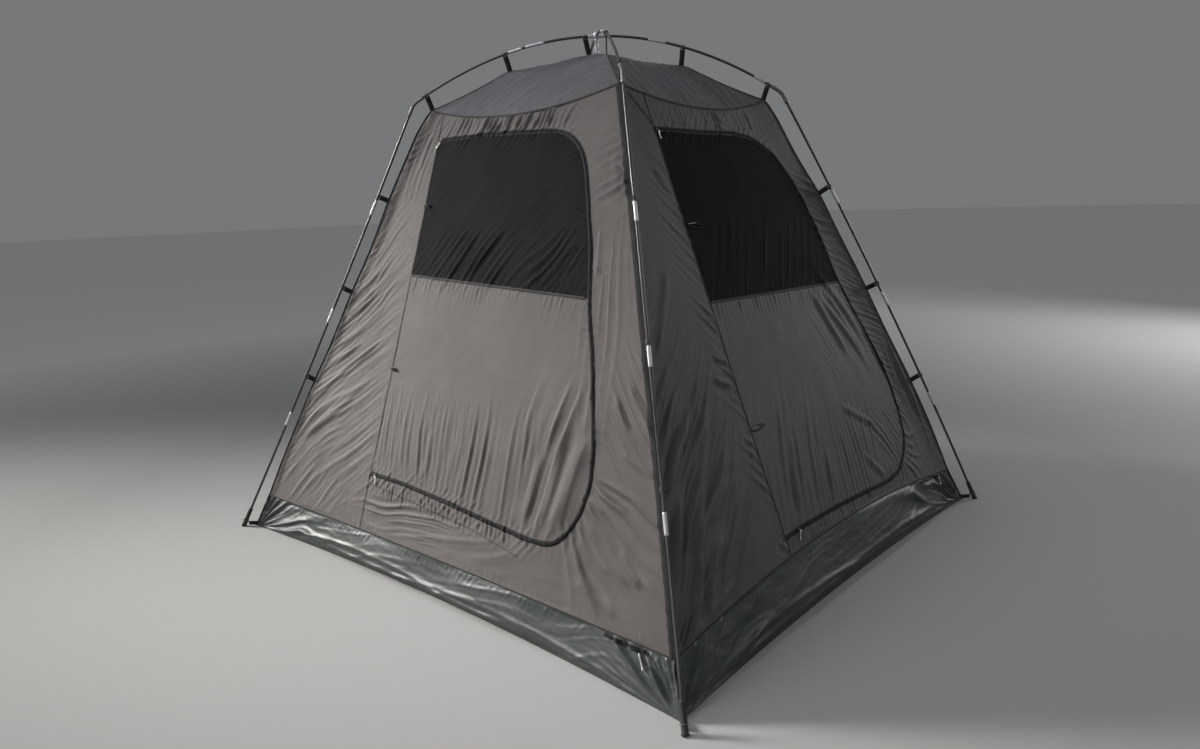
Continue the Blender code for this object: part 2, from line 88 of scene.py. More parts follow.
softbox("key", (-8.5, -4.8, 4.6), (0.3, -1.1, 0.0), 2.4, 56, (1.0, 0.955, 0.91), 23)
softbox("overhead", (-1.6, -2.2, 6.0), (0, -0.4, 1.8), 3.0, 24, (0.92, 0.94, 1.0), 60)
softbox("fill", (3.4, -8.0, 3.6), (0, 0, 0.9), 2.0, 120, (0.92, 0.96, 1.0))
softbox("back", (3.4, 7.0, 2.8), (0.6, 0, 0.8), 2.2, 130, (0.98, 0.98, 1.0))
world = bpy.data.worlds.new("studio")
bpy.context.scene.world = world
world.use_nodes = True
world.node_tree.nodes["Background"].inputs["Color"].default_value = (0.76, 0.78, 0.80, 1)
world.node_tree.nodes["Background"].inputs["Strength"].default_value = 0.24

# %% [markdown]
# ## A small language for finishes
# A Blender material is a net of nodes. Drawn by hand it is slow to change, so here a socket is wrapped in a
# class whose operators add Math nodes: `0.5 + weave * 0.2` is then a real piece of shader. Everything else,
# such as a noise or a colour mix, comes from one method that takes the node's type, settings and inputs.


# %% The socket wrapper
class Flow:
    """A value that varies over a surface: one output socket of a material's nodes."""

    def __init__(self, tree, socket=None):
        self.tree, self.socket = tree, socket

    def node(self, kind, settings=None, inputs=None, output=0):
        """Adds a node, makes its settings, fills its inputs with values or links, and wraps an output."""
        made = self.tree.nodes.new(kind)
        for key, value in (settings or {}).items():
            if key == "stops":
                for i, (place, colour) in enumerate(value):
                    stop = made.color_ramp.elements[i] if i < 2 else made.color_ramp.elements.new(place)
                    stop.position, stop.color = place, (*colour, 1.0)
            else:
                setattr(made, key, value)
        for key, value in (inputs or {}).items():
            if isinstance(value, Flow):
                self.tree.links.new(value.socket, made.inputs[key])
            else:
                made.inputs[key].default_value = value
        return Flow(self.tree, made.outputs[output])

    def maths(self, operation, *others):
        """A Math node on this value and up to two more."""
        return self.node("ShaderNodeMath", {"operation": operation}, dict(enumerate((self, *others))))

    def __add__(self, other):
        return self.maths("ADD", other)

    def __sub__(self, other):
        return self.maths("SUBTRACT", other)

    def __rsub__(self, other):
        return self.node("ShaderNodeMath", {"operation": "SUBTRACT"}, {0: other, 1: self})

    def __mul__(self, other):
        return self.maths("MULTIPLY", other)

    def __truediv__(self, other):
        return self.maths("DIVIDE", other)

    def __pow__(self, other):
        return self.maths("POWER", other)

    def __neg__(self):
        return self.maths("MULTIPLY", -1.0)

    __radd__, __rmul__ = __add__, __mul__

    def wave(self):
        """Sine of this value."""
        return self.maths("SINE")

    def held(self):
        """This value kept between 0 and 1."""
        return self.node("ShaderNodeClamp", {}, {"Value": self})

    def over(self, low, high):
        """0 below low, 1 above high, and a smooth step between them."""
        return self.node("ShaderNodeMapRange", {"interpolation_type": "SMOOTHSTEP"},
                         {"Value": self, "From Min": low, "From Max": high})


# %% [markdown]
# Every finish starts from the Principled shader, its constants set on the shader's own sockets. Cloth patterns
# follow the piece's UV map, which here is in metres along the cloth, and solid things such as poles read
# Object coordinates.


# %% Where patterns read their place
def place_on(flow, coordinates):
    """UV, in metres along the piece, or Object, in metres in the room: a vector, and its three values."""
    point = flow.node("ShaderNodeTexCoord", output=coordinates)
    split = flow.tree.nodes.new("ShaderNodeSeparateXYZ")
    flow.tree.links.new(point.socket, split.inputs[0])
    return point, *(Flow(flow.tree, split.outputs[i]) for i in range(3))


def mottle(flow, point, scale, detail=3.0, rough=0.55, stretch=(1, 1, 1), shift=(0, 0, 0)):
    """Noise with about `scale` lumps a metre, stretched along the axes by a Mapping node."""
    moved = flow.node("ShaderNodeMapping", {}, {"Vector": point, "Scale": stretch, "Location": shift})
    return flow.node("ShaderNodeTexNoise", {},
                     {"Vector": moved, "Scale": scale, "Detail": detail, "Roughness": rough})


def between(flow, share, dark, light):
    """A colour mixed from two by a share; dark may vary too."""
    dark = dark if isinstance(dark, Flow) else (*dark, 1)
    return flow.node("ShaderNodeMix", {"data_type": "RGBA"}, {0: share, 6: dark, 7: (*light, 1)}, output=2)


def finish(name, constants):
    """A new material with its Principled shader's constants set, and a Flow to build on."""
    made = bpy.data.materials.new(name)
    made.use_nodes = True
    shader = made.node_tree.nodes["Principled BSDF"]
    for key, value in constants.items():
        shader.inputs[key].default_value = value
    return made, shader, Flow(made.node_tree)


def feed(shader, flow, **inputs):
    """Links values to the shader's sockets; height is (value, strength, distance) for a Bump node."""
    for key, value in inputs.items():
        if key == "height":
            bump = dict(zip(("Height", "Strength", "Distance"), value))
            key, value = "Normal", flow.node("ShaderNodeBump", {}, bump)
        flow.tree.links.new(value.socket, shader.inputs[key.replace("_", " ")])


# %% [markdown]
# ### Cloth
# Tent polyester is a tight plain weave with a coating inside. From two metres only its slight sheen, its soft
# colour drift and the fine crumple left from the bag are seen. The weave is there too, for close views, at its
# real scale of about two threads a millimetre, and every sixth millimetre has the thicker thread of a ripstop
# grid.


# %% Polyester
def polyester(name, dark, light, rough, gloss):
    """Weave: two sine waves at right angles; crumple: two sizes of noise; colour drifts from dark to light."""
    made, shader, flow = finish(name, {"Roughness": rough, "Sheen Weight": 0.05, "Sheen Roughness": 0.4,
                                       "Specular IOR Level": gloss})
    point, u, v, _ = place_on(flow, "UV")
    weave, ripstop = 6283.0, 1047.0  # radians a metre: a turn each millimetre, and each six
    threads = (u * weave).wave() * (v * weave).wave()
    grid = (u * ripstop).wave().over(0.93, 1.0) + (v * ripstop).wave().over(0.93, 1.0)
    crumple = mottle(flow, point, 30.0, 4.0, 0.6, stretch=(1.0, 0.55, 1))
    soft = mottle(flow, point, 5.0, 2.0, 0.5, shift=(3, 1, 0))
    drift = mottle(flow, point, 2.2, 3.0, 0.6, shift=(7, 2, 0))
    share = (drift * 0.7 + crumple * 0.2 + soft * 0.1 + grid * 0.03 - 0.5) * 2.2 + 0.5
    feed(shader, flow, Base_Color=between(flow, share.held(), dark, light),
         Roughness=(crumple * 0.16 + (rough - 0.08)),
         height=(crumple * 1.0 + soft * 2.0 + threads * 0.05 + grid * 0.08, 0.6, 0.0034))
    return made


WALL_CLOTH = polyester("wall_polyester", (0.064, 0.0570, 0.0535), (0.090, 0.0810, 0.0765), 0.52, 0.20)
ROOF_CLOTH = polyester("roof_polyester", (0.034, 0.0322, 0.0370), (0.052, 0.0492, 0.0562), 0.44, 0.55)
print("cloth", WALL_CLOTH.name, ROOF_CLOTH.name)


# %% [markdown]
# The window mesh is a black knitted net. Its holes are about a millimetre apart, so from here it is a dark veil
# with a little of the inside showing through: a constant alpha, and a fine honeycomb that only its bump,
# roughness and colour follow. The veil is nearly opaque and darker than black cloth: the net's own black, and
# painted shade for the dark inside seen through it.


# %% Window mesh
def window_net():
    """Honeycomb: three sine waves at 60 degrees to each other, about one hole a millimetre."""
    # An alpha of 0.985 lets almost none of the inside through: painted shade in place of the dark inside.
    made, shader, flow = finish("window_mesh", {"Alpha": 0.985, "Specular IOR Level": 0.04})
    point, u, v, _ = place_on(flow, "UV")
    level, half, rising = 5400.0, 2700.0, 4676.0  # radians a metre: one wave, and its parts at 60 degrees
    comb = (u * level).wave() + (u * half + v * rising).wave() + (u * half - v * rising).wave()
    cloud = mottle(flow, point, 7.0, 3.0, 0.6, stretch=(1, 0.5, 1))
    share = (cloud - 0.4) * 2.4 + comb * 0.04
    # Near-black colour: the net's own black, darkened further as painted shade of the inside.
    colour = between(flow, share.held(), (0.0052, 0.0052, 0.0066), (0.0105, 0.0103, 0.0126))
    feed(shader, flow, Base_Color=colour, Roughness=comb * 0.04 + 0.66,
         height=(cloud * 1.5 + comb * 0.05, 0.5, 0.0022))
    return made


NET = window_net()


# %% [markdown]
# The bathtub and floor are woven polyethylene, laminated on both sides. It keeps every crease from being
# folded, and its creases catch the light; the crease lines are also painted paler, a painted highlight. A noise
# that is folded at its middle value, 1 - |noise|, has such sharp lines, and stretching it along the side lays
# the lines the way the film was pulled.


# %% Laminated polyethylene
def laminate():
    """Creases: 1 - |noise|, at two sizes, also paler in colour as a painted highlight; tapes: the 2.5 mm weave
    under the film; dull and shiny areas.
    """
    made, shader, flow = finish("floor_polyethylene", {"Specular IOR Level": 0.42, "Coat Weight": 0.02,
                                                       "Coat Roughness": 0.30})
    point, u, v, _ = place_on(flow, "UV")
    long = mottle(flow, point, 9.0, 2.0, 0.5, stretch=(0.45, 1.5, 1))
    short = mottle(flow, point, 24.0, 3.0, 0.55, stretch=(0.7, 1.2, 1), shift=(2, 9, 0))
    fold = (1.0 - (long - 0.5).maths("ABSOLUTE") * 9.0).held()
    wrinkle = (1.0 - (short - 0.5).maths("ABSOLUTE") * 7.0).held()
    tape = 2513.0  # radians a metre: a turn each 2.5 mm
    tapes = (u * tape).wave() * (v * tape).wave()
    dust = mottle(flow, point, 4.0, 4.0, 0.65, shift=(1, 5, 0))
    # Where the crease lines cross, the colour turns paler: a painted highlight on the creases.
    share = ((dust - 0.5) * 2.4 + fold * wrinkle * 0.5 + 0.35).held()
    feed(shader, flow, Base_Color=between(flow, share, (0.020, 0.028, 0.026), (0.050, 0.058, 0.056)),
         Roughness=(dust * 0.34 + 0.33).held(),
         height=(fold * 0.6 + wrinkle * 0.35 + tapes * 0.03, 0.5, 0.0026))
    return made


LAMINATE = laminate()
print("bathtub finish", LAMINATE.name)


# %% [markdown]
# ### Webbing, thread, metal and rubber
# Webbing has ribs across it and a paler stitched line near each edge. The poles are steel with a dark slate
# coating that shines softly, and their joints are bare metal, brushed along the pole. The elbows take a darker
# copy of that bright metal: painted shade.


# %% Trimmings
TURN, STITCH = 6.2832, 0.0036


def ribbed(name, dark, light, rib, rough, stitch):
    """Ribs: a sine wave along the strip (u). Stitches: paler dashes at one distance (v) off its middle."""
    made, shader, flow = finish(name, {"Roughness": rough, "Sheen Weight": 0.03, "Specular IOR Level": 0.16})
    point, u, v, _ = place_on(flow, "UV")
    ribs = (u * (TURN / rib)).wave()
    share = (mottle(flow, point, 40.0) - 0.5) * 1.6 + ribs * 0.22 + 0.4
    line = (1.0 - (v.maths("ABSOLUTE") - stitch).maths("ABSOLUTE").over(0.0004, 0.0009))
    dash = line * (u * (TURN / STITCH)).wave().over(-0.5, 0.1)
    colour = between(flow, dash * 0.8, between(flow, share.held(), dark, light), [part * 1.9 for part in light])
    feed(shader, flow, Base_Color=colour, height=(ribs * 0.35 + dash * 1.2 - line * 0.8, 0.5, 0.0005))
    return made


WEBBING = ribbed("webbing", (0.008, 0.008, 0.009), (0.020, 0.020, 0.022), 0.0016, 0.72, 0.0072)
PIPING = ribbed("seam_tape", (0.018, 0.017, 0.017), (0.034, 0.032, 0.031), 0.0011, 0.66, 0.0028)
ZIP_TAPE = ribbed("zip_tape", (0.006, 0.006, 0.007), (0.013, 0.013, 0.014), 0.0008, 0.60, 0.0105)
print("trimmings", [m.name for m in (WEBBING, PIPING, ZIP_TAPE)])


# %% Metal, coating and rubber
def hard(name, dark, light, rough, metallic, scale, depth, brushed=1.0, coat=0.0, coat_rough=0.03):
    """Colour, roughness and a slight bump follow a noise, stretched along z where `brushed` is under 1."""
    made, shader, flow = finish(name, {"Metallic": metallic, "Coat Weight": coat, "Coat Roughness": coat_rough})
    point, *_ = place_on(flow, "Object")
    grain = mottle(flow, point, scale, 4.0, 0.6, stretch=(1, 1, brushed))
    wear = mottle(flow, point, 11.0, 5.0, 0.7, shift=(4, 4, 1))
    share = ((grain - 0.5) * 1.4 + (wear - 0.5) * 1.2 + 0.5).held()
    feed(shader, flow, Base_Color=between(flow, share, dark, light),
         Roughness=((grain - 0.5) * 0.25 + (wear - 0.5) * 0.2 + rough).held(), height=(grain, 0.3, depth))
    return made


COATING = hard("pole_coating", (0.030, 0.030, 0.033), (0.062, 0.062, 0.067), 0.34, 0.35, 160, 0.0001, 0.12,
               coat=0.25, coat_rough=0.28)
BRIGHT = hard("bright_metal", (0.46, 0.46, 0.47), (0.60, 0.60, 0.61), 0.42, 0.6, 300, 0.00002, 0.06)
# The elbows' bare metal as a darker copy of the bright metal: painted shade.
SHADED_ELBOW_METAL = hard("elbow_metal_painted_shade", (0.10, 0.10, 0.105), (0.20, 0.20, 0.21), 0.42, 0.6, 300, 0.00002, 0.06)
PULL_METAL = hard("pull_metal", (0.62, 0.61, 0.58), (0.84, 0.83, 0.80), 0.36, 0.75, 500, 0.00003)
GREY_PLASTIC = hard("grey_plastic", (0.16, 0.16, 0.17), (0.24, 0.24, 0.25), 0.45, 0.0, 500, 0.0001)
RUBBER = hard("black_rubber", (0.010, 0.010, 0.011), (0.026, 0.026, 0.026), 0.62, 0.0, 420, 0.0003)
PLASTIC = hard("black_plastic", (0.012, 0.012, 0.013), (0.024, 0.024, 0.026), 0.40, 0.0, 700, 0.0001)
RING_PLASTIC = hard("ring_plastic", (0.050, 0.050, 0.052), (0.100, 0.100, 0.104), 0.42, 0.0, 600, 0.0001)


def painted_light_floor(near=2.6, far=7.0):
    """A matt floor, darker near the tent and paler between two distances from the middle: painted light where
    less of the lamps' light falls.
    """
    made, shader, flow = finish("studio_floor", {"Roughness": 0.85, "Specular IOR Level": 0.2})
    _, x, y, _ = place_on(flow, "Object")
    distance = (x * x + y * y).maths("SQRT")
    share = ((distance - near) * (1 / (far - near))).held()
    feed(shader, flow, Base_Color=between(flow, share, (0.325, 0.325, 0.32), (0.86, 0.86, 0.85)))
    return made


FLOOR_WITH_PAINTED_LIGHT = painted_light_floor()
hard_finishes = (COATING, BRIGHT, SHADED_ELBOW_METAL, PULL_METAL, GREY_PLASTIC, RUBBER, PLASTIC, RING_PLASTIC, FLOOR_WITH_PAINTED_LIGHT)
print("hard finishes", [m.name for m in hard_finishes])

# %% [markdown]
# ## Meshes from whole arrays
# A shape here is four things: its points, its four-sided faces, a UV place at each of their corners, and end
# caps. A grid of points, rows by columns, becomes such a shape at once, because its faces are the same four
# shifted index arrays.


# %% Shapes
def grid(points, uv, closed=False, caps=False):
    """Faces of a grid of points; normals are (along a row) x (along a column). Closed: its rows are rings."""
    rows, columns = points.shape[:2]
    index = np.arange(rows * columns).reshape(rows, columns)
    if closed:
        index = np.concatenate([index, index[:, :1]], 1)
    corner = [(slice(None, -1), slice(None, -1)), (slice(None, -1), slice(1, None)),
              (slice(1, None), slice(1, None)), (slice(1, None), slice(None, -1))]
    quads = np.stack([index[c] for c in corner], -1).reshape(-1, 4)
    quad_uv = np.stack([uv[c] for c in corner], -2).reshape(-1, 4, 2)
    ends = [index[0, :columns][::-1].tolist(), index[-1, :columns].tolist()] if caps else []
    return points.reshape(-1, 3), quads, quad_uv, ends


def merge(*shapes):
    """Several shapes as one."""
    shapes = [s for s in shapes if len(s[0])]
    starts = np.cumsum([0] + [len(s[0]) for s in shapes[:-1]])
    return (np.concatenate([s[0] for s in shapes]),
            np.concatenate([s[1] + n for s, n in zip(shapes, starts)]),
            np.concatenate([s[2] for s in shapes]),
            [[i + int(n) for i in ring] for s, n in zip(shapes, starts) for ring in s[3]])


def piece(name, shape, material, slot, body="tent", stands_for=()):
    """Puts a shape into a mesh object that rides on a body, takes its finish and replaces plain solids; the
    slot is not used.
    """
    points, quads, quad_uv, ends = shape
    mesh = bpy.data.meshes.new(name)
    mesh.from_pydata(points.tolist(), [], quads.tolist() + ends)
    flat = np.zeros((len(mesh.loops), 2), np.float32)
    flat[:quad_uv.size // 2] = quad_uv.reshape(-1, 2)
    mesh.uv_layers.new(name="cloth").data.foreach_set("uv", flat.ravel())
    mesh.polygons.foreach_set("use_smooth", np.arange(len(mesh.polygons)) < len(quads))
    mesh.materials.append(material)
    made = bpy.data.objects.new(name, mesh)
    bpy.context.scene.collection.objects.link(made)
    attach(made, body)
    if stands_for:
        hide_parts(*stands_for)
    return made


# %% [markdown]
# Straps, rings and poles are all a profile carried along a path. At each point of the path two arms are needed,
# `side` and `out`, square to the path, and the profile is measured along them.


# %% A profile along a path
def lengths(path):
    """Distance along a path to each of its points."""
    return np.concatenate([[0], np.cumsum(np.linalg.norm(np.diff(path, axis=0), axis=1))])


def unit(v):
    return v / np.linalg.norm(v, axis=-1, keepdims=True)


def arms(path, hint):
    """Side and out arms along a path: out is the hint made square to the path, and side completes the hand."""
    run = unit(np.gradient(path, axis=0))
    hint = np.broadcast_to(np.asarray(hint, float), path.shape)
    out = unit(hint - run * (hint * run).sum(1, keepdims=True))
    return np.cross(out, run), out


def carry(path, side, out, profile, caps=True):
    """Each point is path + side * profile[0] + out * profile[1]; u runs along and v round, in metres."""
    profile = np.broadcast_to(profile, (len(path), *np.shape(profile)[-2:]))
    points = path[:, None] + side[:, None] * profile[..., :1] + out[:, None] * profile[..., 1:]
    ring = np.concatenate([profile[len(path) // 2], profile[len(path) // 2][:1]])
    u, v = np.meshgrid(lengths(path), lengths(ring), indexing="ij")
    return grid(points, np.stack([u, v], -1), closed=True, caps=caps)


def circle(radius, sides=20):
    """Points round a circle, anticlockwise."""
    t = np.arange(sides) * 2 * np.pi / sides
    return np.stack([np.cos(t), np.sin(t)], -1) * radius


def tube(path, radii, hint=(0.3, 0.2, 0.9), sides=20):
    """A round bar along a path, its radius given at each point."""
    path = np.asarray(path, float)
    radii = np.broadcast_to(radii, len(path))
    return carry(path, *arms(path, hint), circle(1.0, sides)[None] * radii[:, None, None])


def turned(profile, base, axis, sides=24):
    """A lathe piece: (radius, height) pairs turned about an axis through base."""
    profile = np.asarray(profile, float)
    axis = unit(np.asarray(axis, float))
    path = np.asarray(base, float) + axis * profile[:, 1:]
    hint = (0.3, 1.0, 0.1) if abs(axis[2]) > 0.5 else (0.1, 0.2, 1.0)
    out = unit(np.asarray(hint) - axis * np.dot(hint, axis))
    side = np.cross(out, axis)
    ring = circle(1.0, sides)[None] * profile[:, :1, None]
    return carry(path, np.tile(side, (len(path), 1)), np.tile(out, (len(path), 1)), ring)


# %% [markdown]
# ## The tent's own geometry
# These are the sizes of the solids, repeated. Poles, hips and corner seams lie in upright planes through the
# hub, so a point there is a reach from the centre line and a height.

# %% Sizes of the frame
FOOT_X, FOOT_Y, HUB_Z, ARCH = 1.20, 1.10, 2.00, 0.43
DIAGONAL = math.hypot(FOOT_X, FOOT_Y)
ELBOW_REACH = 0.742
ELBOW_Z = HUB_Z - ARCH * ELBOW_REACH ** 2
PEAK_Z, ROOF_REACH, ROOF_SAG = 1.93, 0.674, 0.058
ROOF_CORNER_Z = PEAK_Z - ARCH * ROOF_REACH ** 2
BAND_REACH, BAND_Z, FLOOR_REACH = 1.500, 0.140, 1.572
SINK = 0.002
CORNERS = {"front_left": (-1, -1), "front_right": (1, -1), "back_right": (1, 1), "back_left": (-1, 1)}
WALLS = {}
for wall, like, across, rise, bow, left, right in (
        ("front", "front", (1, 0, 0), 0.010, 0.050, "front_left", "front_right"),
        ("right", "right", (0, 1, 0), 0.064, 0.035, "front_right", "back_right"),
        ("back", "front", (-1, 0, 0), 0.020, 0.045, "back_right", "back_left"),
        ("left", "right", (0, -1, 0), 0.040, 0.040, "back_left", "front_left")):
    half = (FOOT_X, FOOT_Y) if like == "front" else (FOOT_Y, FOOT_X)
    WALLS[wall] = {"across": np.array(across, float), "outward": np.array((across[1], -across[0], 0), float),
                   "half": half, "rise": rise, "bow": bow, "left": left, "right": right, "like": like}
DOORED, PLAIN_WALLS = ("front", "right"), ("back", "left")
UP = np.array([0, 0, 1.0])
LEAN = (BAND_REACH - ROOF_REACH) / (ROOF_CORNER_Z - BAND_Z)
print("roof corner", round(ROOF_CORNER_Z, 4), "lean of the corner seams", round(LEAN, 4))


# %% The hips of the roof
def hip_z(reach):
    """On the arch at the peak, the strap and the roof corner, slack between, its kink rounded over 30 mm."""
    knots, slack, rounding = np.array([0.0, 0.355, ROOF_REACH]), 0.007, 0.015
    room = np.clip(np.minimum(reach, ROOF_REACH - reach) / rounding, 0, 1)
    total = 0.0
    for shift in np.linspace(-rounding, rounding, 5):
        r = reach + shift * room
        t = np.where(r < knots[1], r / knots[1], (r - knots[1]) / (knots[2] - knots[1]))
        total = total + np.interp(r, knots, PEAK_Z - ARCH * knots ** 2) - slack * 4 * t * (1 - t)
    return total / 5


# %% Points in a corner's plane and on a flat wall
def diagonal(corner):
    """The level direction from the hub towards a corner."""
    sx, sy = CORNERS[corner]
    return np.array([sx * FOOT_X, sy * FOOT_Y, 0]) / DIAGONAL


def corner_point(corner, reach, z):
    """reach from the centre line along the corner's diagonal, and height z."""
    sx, sy = CORNERS[corner]
    reach, z = np.broadcast_arrays(np.asarray(reach, float), np.asarray(z, float))
    return np.stack([sx * FOOT_X * reach / DIAGONAL, sy * FOOT_Y * reach / DIAGONAL, z], -1)


def wall_reach(z):
    """Reach of the corner seams: a straight line from the bathtub seam to the roof corner."""
    return BAND_REACH - LEAN * (z - BAND_Z)


def outward_at(wall, z):
    return WALLS[wall]["half"][1] * wall_reach(z) / DIAGONAL - SINK


def edge_at(wall, z):
    """Across of the corner seams at a height."""
    half = WALLS[wall]["half"]
    return outward_at(wall, z) * half[0] / half[1]


def top_edge(wall, a):
    """Height of the roof seam: a parabola hung between the roof corners."""
    return ROOF_CORNER_Z - ROOF_SAG * (1 - (a / edge_at(wall, ROOF_CORNER_Z)) ** 2)


def low_edge(wall, a):
    """Height of the bathtub seam, which rises towards the middle of each side."""
    return BAND_Z + WALLS[wall]["rise"] * (1 - (a / edge_at(wall, BAND_Z)) ** 2)


# %% [markdown]
# ### Where the cloth is pulled
# The straps pull the corner seams out beyond the straight line between roof and floor. How far was read from
# the outline of the tent in the photograph for the three corners that are seen, and the fourth is like them.
# Each corner has its own table of heights in metres and distances in millimetres.

# %% The pull of the straps
PULL = {
    "front_left": ((0.14, 0), (0.30, 8), (0.62, 14), (0.8, 9), (1.0, 14), (1.2, 10), (1.40, 22), (1.55, 21),
                   (1.67, 20), (1.735, 0)),
    "front_right": ((0.14, 0), (0.30, 9), (0.62, 16), (0.8, 12), (1.0, 18), (1.2, 13), (1.40, 18), (1.6, 12),
                    (1.735, 0)),
    "back_right": ((0.14, 0), (0.35, 22), (0.55, 32), (0.8, 31), (1.0, 37), (1.2, 34), (1.36, 36), (1.5, 18),
                   (1.7, 13), (1.735, 0)),
    "back_left": ((0.14, 0), (0.30, 12), (0.62, 22), (0.8, 17), (1.0, 24), (1.2, 18), (1.40, 24), (1.6, 14),
                  (1.735, 0)),
}


def smooth(x):
    """0 below 0, 1 above 1, and a smooth step between."""
    x = np.clip(x, 0, 1)
    return x * x * (3 - 2 * x)


def pull(corner, z):
    """How far a corner seam stands out at a height, in metres, the table's kinks rounded over 80 mm."""
    heights, amounts = np.array(PULL[corner]).T
    shifts = np.linspace(-0.04, 0.04, 5)
    stands = np.mean([np.interp(z + s, heights, amounts) for s in shifts], axis=0) / 1000
    return stands * smooth((z - BAND_Z) / 0.05) * smooth((ROOF_CORNER_Z - z) / 0.02)


# %% [markdown]
# ### Smooth noise and folds
# Cloth is random in an orderly way. Value noise, a random number at each crossing of a lattice joined by
# smooth steps, gives the drift. A fold is a narrow ridge beside a softer hollow, and pleats are ridges side by
# side, each with its own height, that come and go along their run.


# %% Noise
def noise(x, y, seed):
    """Random numbers from -1 to 1 at whole (x, y), joined smoothly."""
    table = np.random.default_rng(seed).uniform(-1, 1, (64, 64))
    x, y = np.broadcast_arrays(x, y)
    i, j = np.floor(x).astype(int), np.floor(y).astype(int)
    u, v = smooth(x - i), smooth(y - j)
    low = table[i % 64, j % 64] * (1 - u) + table[(i + 1) % 64, j % 64] * u
    high = table[i % 64, (j + 1) % 64] * (1 - u) + table[(i + 1) % 64, (j + 1) % 64] * u
    return low * (1 - v) + high * v


def ridges(phase, along, seed):
    """A ridge at each whole phase, steeper on one side; along, in fold lengths, makes it come and go."""
    own = np.random.default_rng(seed).uniform(0, 1, 97)
    near = np.round(phase)
    line = phase - near
    tall = own[near.astype(int) % 97]
    swell = smooth(0.55 + 0.75 * noise(along + 5.3 * near, near * 0.77, seed + 1))
    gentle, steep, middle = 0.27, 0.17, 0.18
    return (0.35 + 0.65 * tall) * swell * np.exp(-(line / np.where(line > 0, gentle, steep)) ** 2) - middle


def window(a, z, centre, size):
    """1 inside a soft box about centre and 0 outside it."""
    return np.exp(-np.abs((a - centre[0]) / size[0]) ** 4 - np.abs((z - centre[1]) / size[1]) ** 4)


# %% Four kinds of fold
STRENGTH = 1.35


def pleats(a, z, centre, size, lean, spacing, height, seed, run=0.16):
    """Ridges side by side that lean from upright by `lean` degrees to the right, and fine ones among them."""
    a, z = np.broadcast_arrays(a, z)
    box = window(a, z, centre, size)
    inside = box > 0.004
    lean, a, z = math.radians(lean), a[inside], z[inside]
    across = (a - centre[0]) * math.cos(lean) - (z - centre[1]) * math.sin(lean)
    along = (a - centre[0]) * math.sin(lean) + (z - centre[1]) * math.cos(lean)
    bend = noise(a / (5 * spacing) + 3, z / (9 * spacing), seed + 2)
    coarse = ridges(across / spacing + 0.8 * bend, along / run, seed)
    closer, share = 0.43, 0.28
    fine = ridges(across / (closer * spacing) + 1.5 * bend, along / (0.7 * run) + 0.4, seed + 5)
    box[inside] *= STRENGTH * height * (coarse + share * fine)
    return np.where(inside, box, 0.0)


def fan(a, z, focus, angles, near, far, step, height, seed):
    """Ridges like spokes about a focus, between two angles and two distances, in degrees and metres."""
    turn = np.degrees(np.arctan2(z - focus[1], a - focus[0]))
    away = np.hypot(a - focus[0], z - focus[1])
    inside = smooth((away - near) / (0.4 * near + 0.02)) * smooth((far - away) / (0.5 * far))
    inside = inside * smooth((turn - angles[0]) / 8) * smooth((angles[1] - turn) / 8)
    phase = turn / step + 0.5 * noise(away / 0.12, turn / 25, seed)
    return STRENGTH * height * ridges(phase, away / 0.2, seed) * inside


def crease(a, z, x0, z0, x1, z1, width, height, bow=0.0):
    """One fold along a line: a ridge, and a shallow hollow on its right side, that run out at both ends."""
    length = math.hypot(x1 - x0, z1 - z0)
    dx, dz = (x1 - x0) / length, (z1 - z0) / length
    t = ((a - x0) * dx + (z - z0) * dz) / length
    off = ((a - x0) * dz - (z - z0) * dx - bow * 4 * t * (1 - t)) / width
    taper = smooth(2.2 * (1 - np.abs(2 * t - 1)))
    return height * taper * (np.exp(-off ** 2) - 0.35 * np.exp(-((off - 2.0) / 1.5) ** 2))


def gathers(s, d, spacing, height, reach, slant, seed):
    """Puckers along a seam: s runs along it, d away from it; highest at `reach`, gone a few reaches on."""
    phase = s / spacing + slant * d / spacing + 0.6 * noise(s / (6 * spacing), 0.5, seed + 3)
    d = np.maximum(d, 0)
    puckers = ridges(phase, d / (4 * reach) + s / (9 * spacing), seed)
    return height * puckers * (d / reach) * np.exp(1 - d / reach)


# %% [markdown]
# ### The zip lines
# A door's zip follows a line measured in the photograph and put on the wall's plane. It runs from the hinge
# side along the bottom, up the free side and back over the top. Averaging over a short window rounds its
# corners.

# %% Zip and seam lines, in each wall's own across and height
ZIP_POINTS = {
    "front": ((-0.410, 0.354), (-0.222, 0.354), (0.095, 0.337), (0.274, 0.323), (0.471, 0.309), (0.560, 0.312),
              (0.600, 0.326), (0.644, 0.368), (0.679, 0.438), (0.694, 0.512), (0.683, 0.617), (0.650, 0.733),
              (0.600, 0.901), (0.562, 1.000), (0.546, 1.053), (0.503, 1.236), (0.458, 1.369), (0.424, 1.460),
              (0.393, 1.516), (0.350, 1.560), (0.288, 1.592), (0.230, 1.603), (-0.144, 1.615), (-0.410, 1.612)),
    "right": ((-0.345, 0.255), (-0.242, 0.260), (0.037, 0.255), (0.268, 0.244), (0.462, 0.234), (0.575, 0.246),
              (0.661, 0.298), (0.712, 0.353), (0.732, 0.430), (0.738, 0.560), (0.700, 0.690), (0.640, 0.850),
              (0.577, 1.019), (0.550, 1.180), (0.510, 1.330), (0.455, 1.434), (0.383, 1.519), (0.269, 1.574),
              (0.141, 1.591), (-0.072, 1.587), (-0.345, 1.590)),
}
HINGE = {"front": -0.410, "right": -0.345}
MESH_ENDS, MESH_END_A = {"front": (1.096, 1.055), "right": (1.015, 1.000)}, 0.546


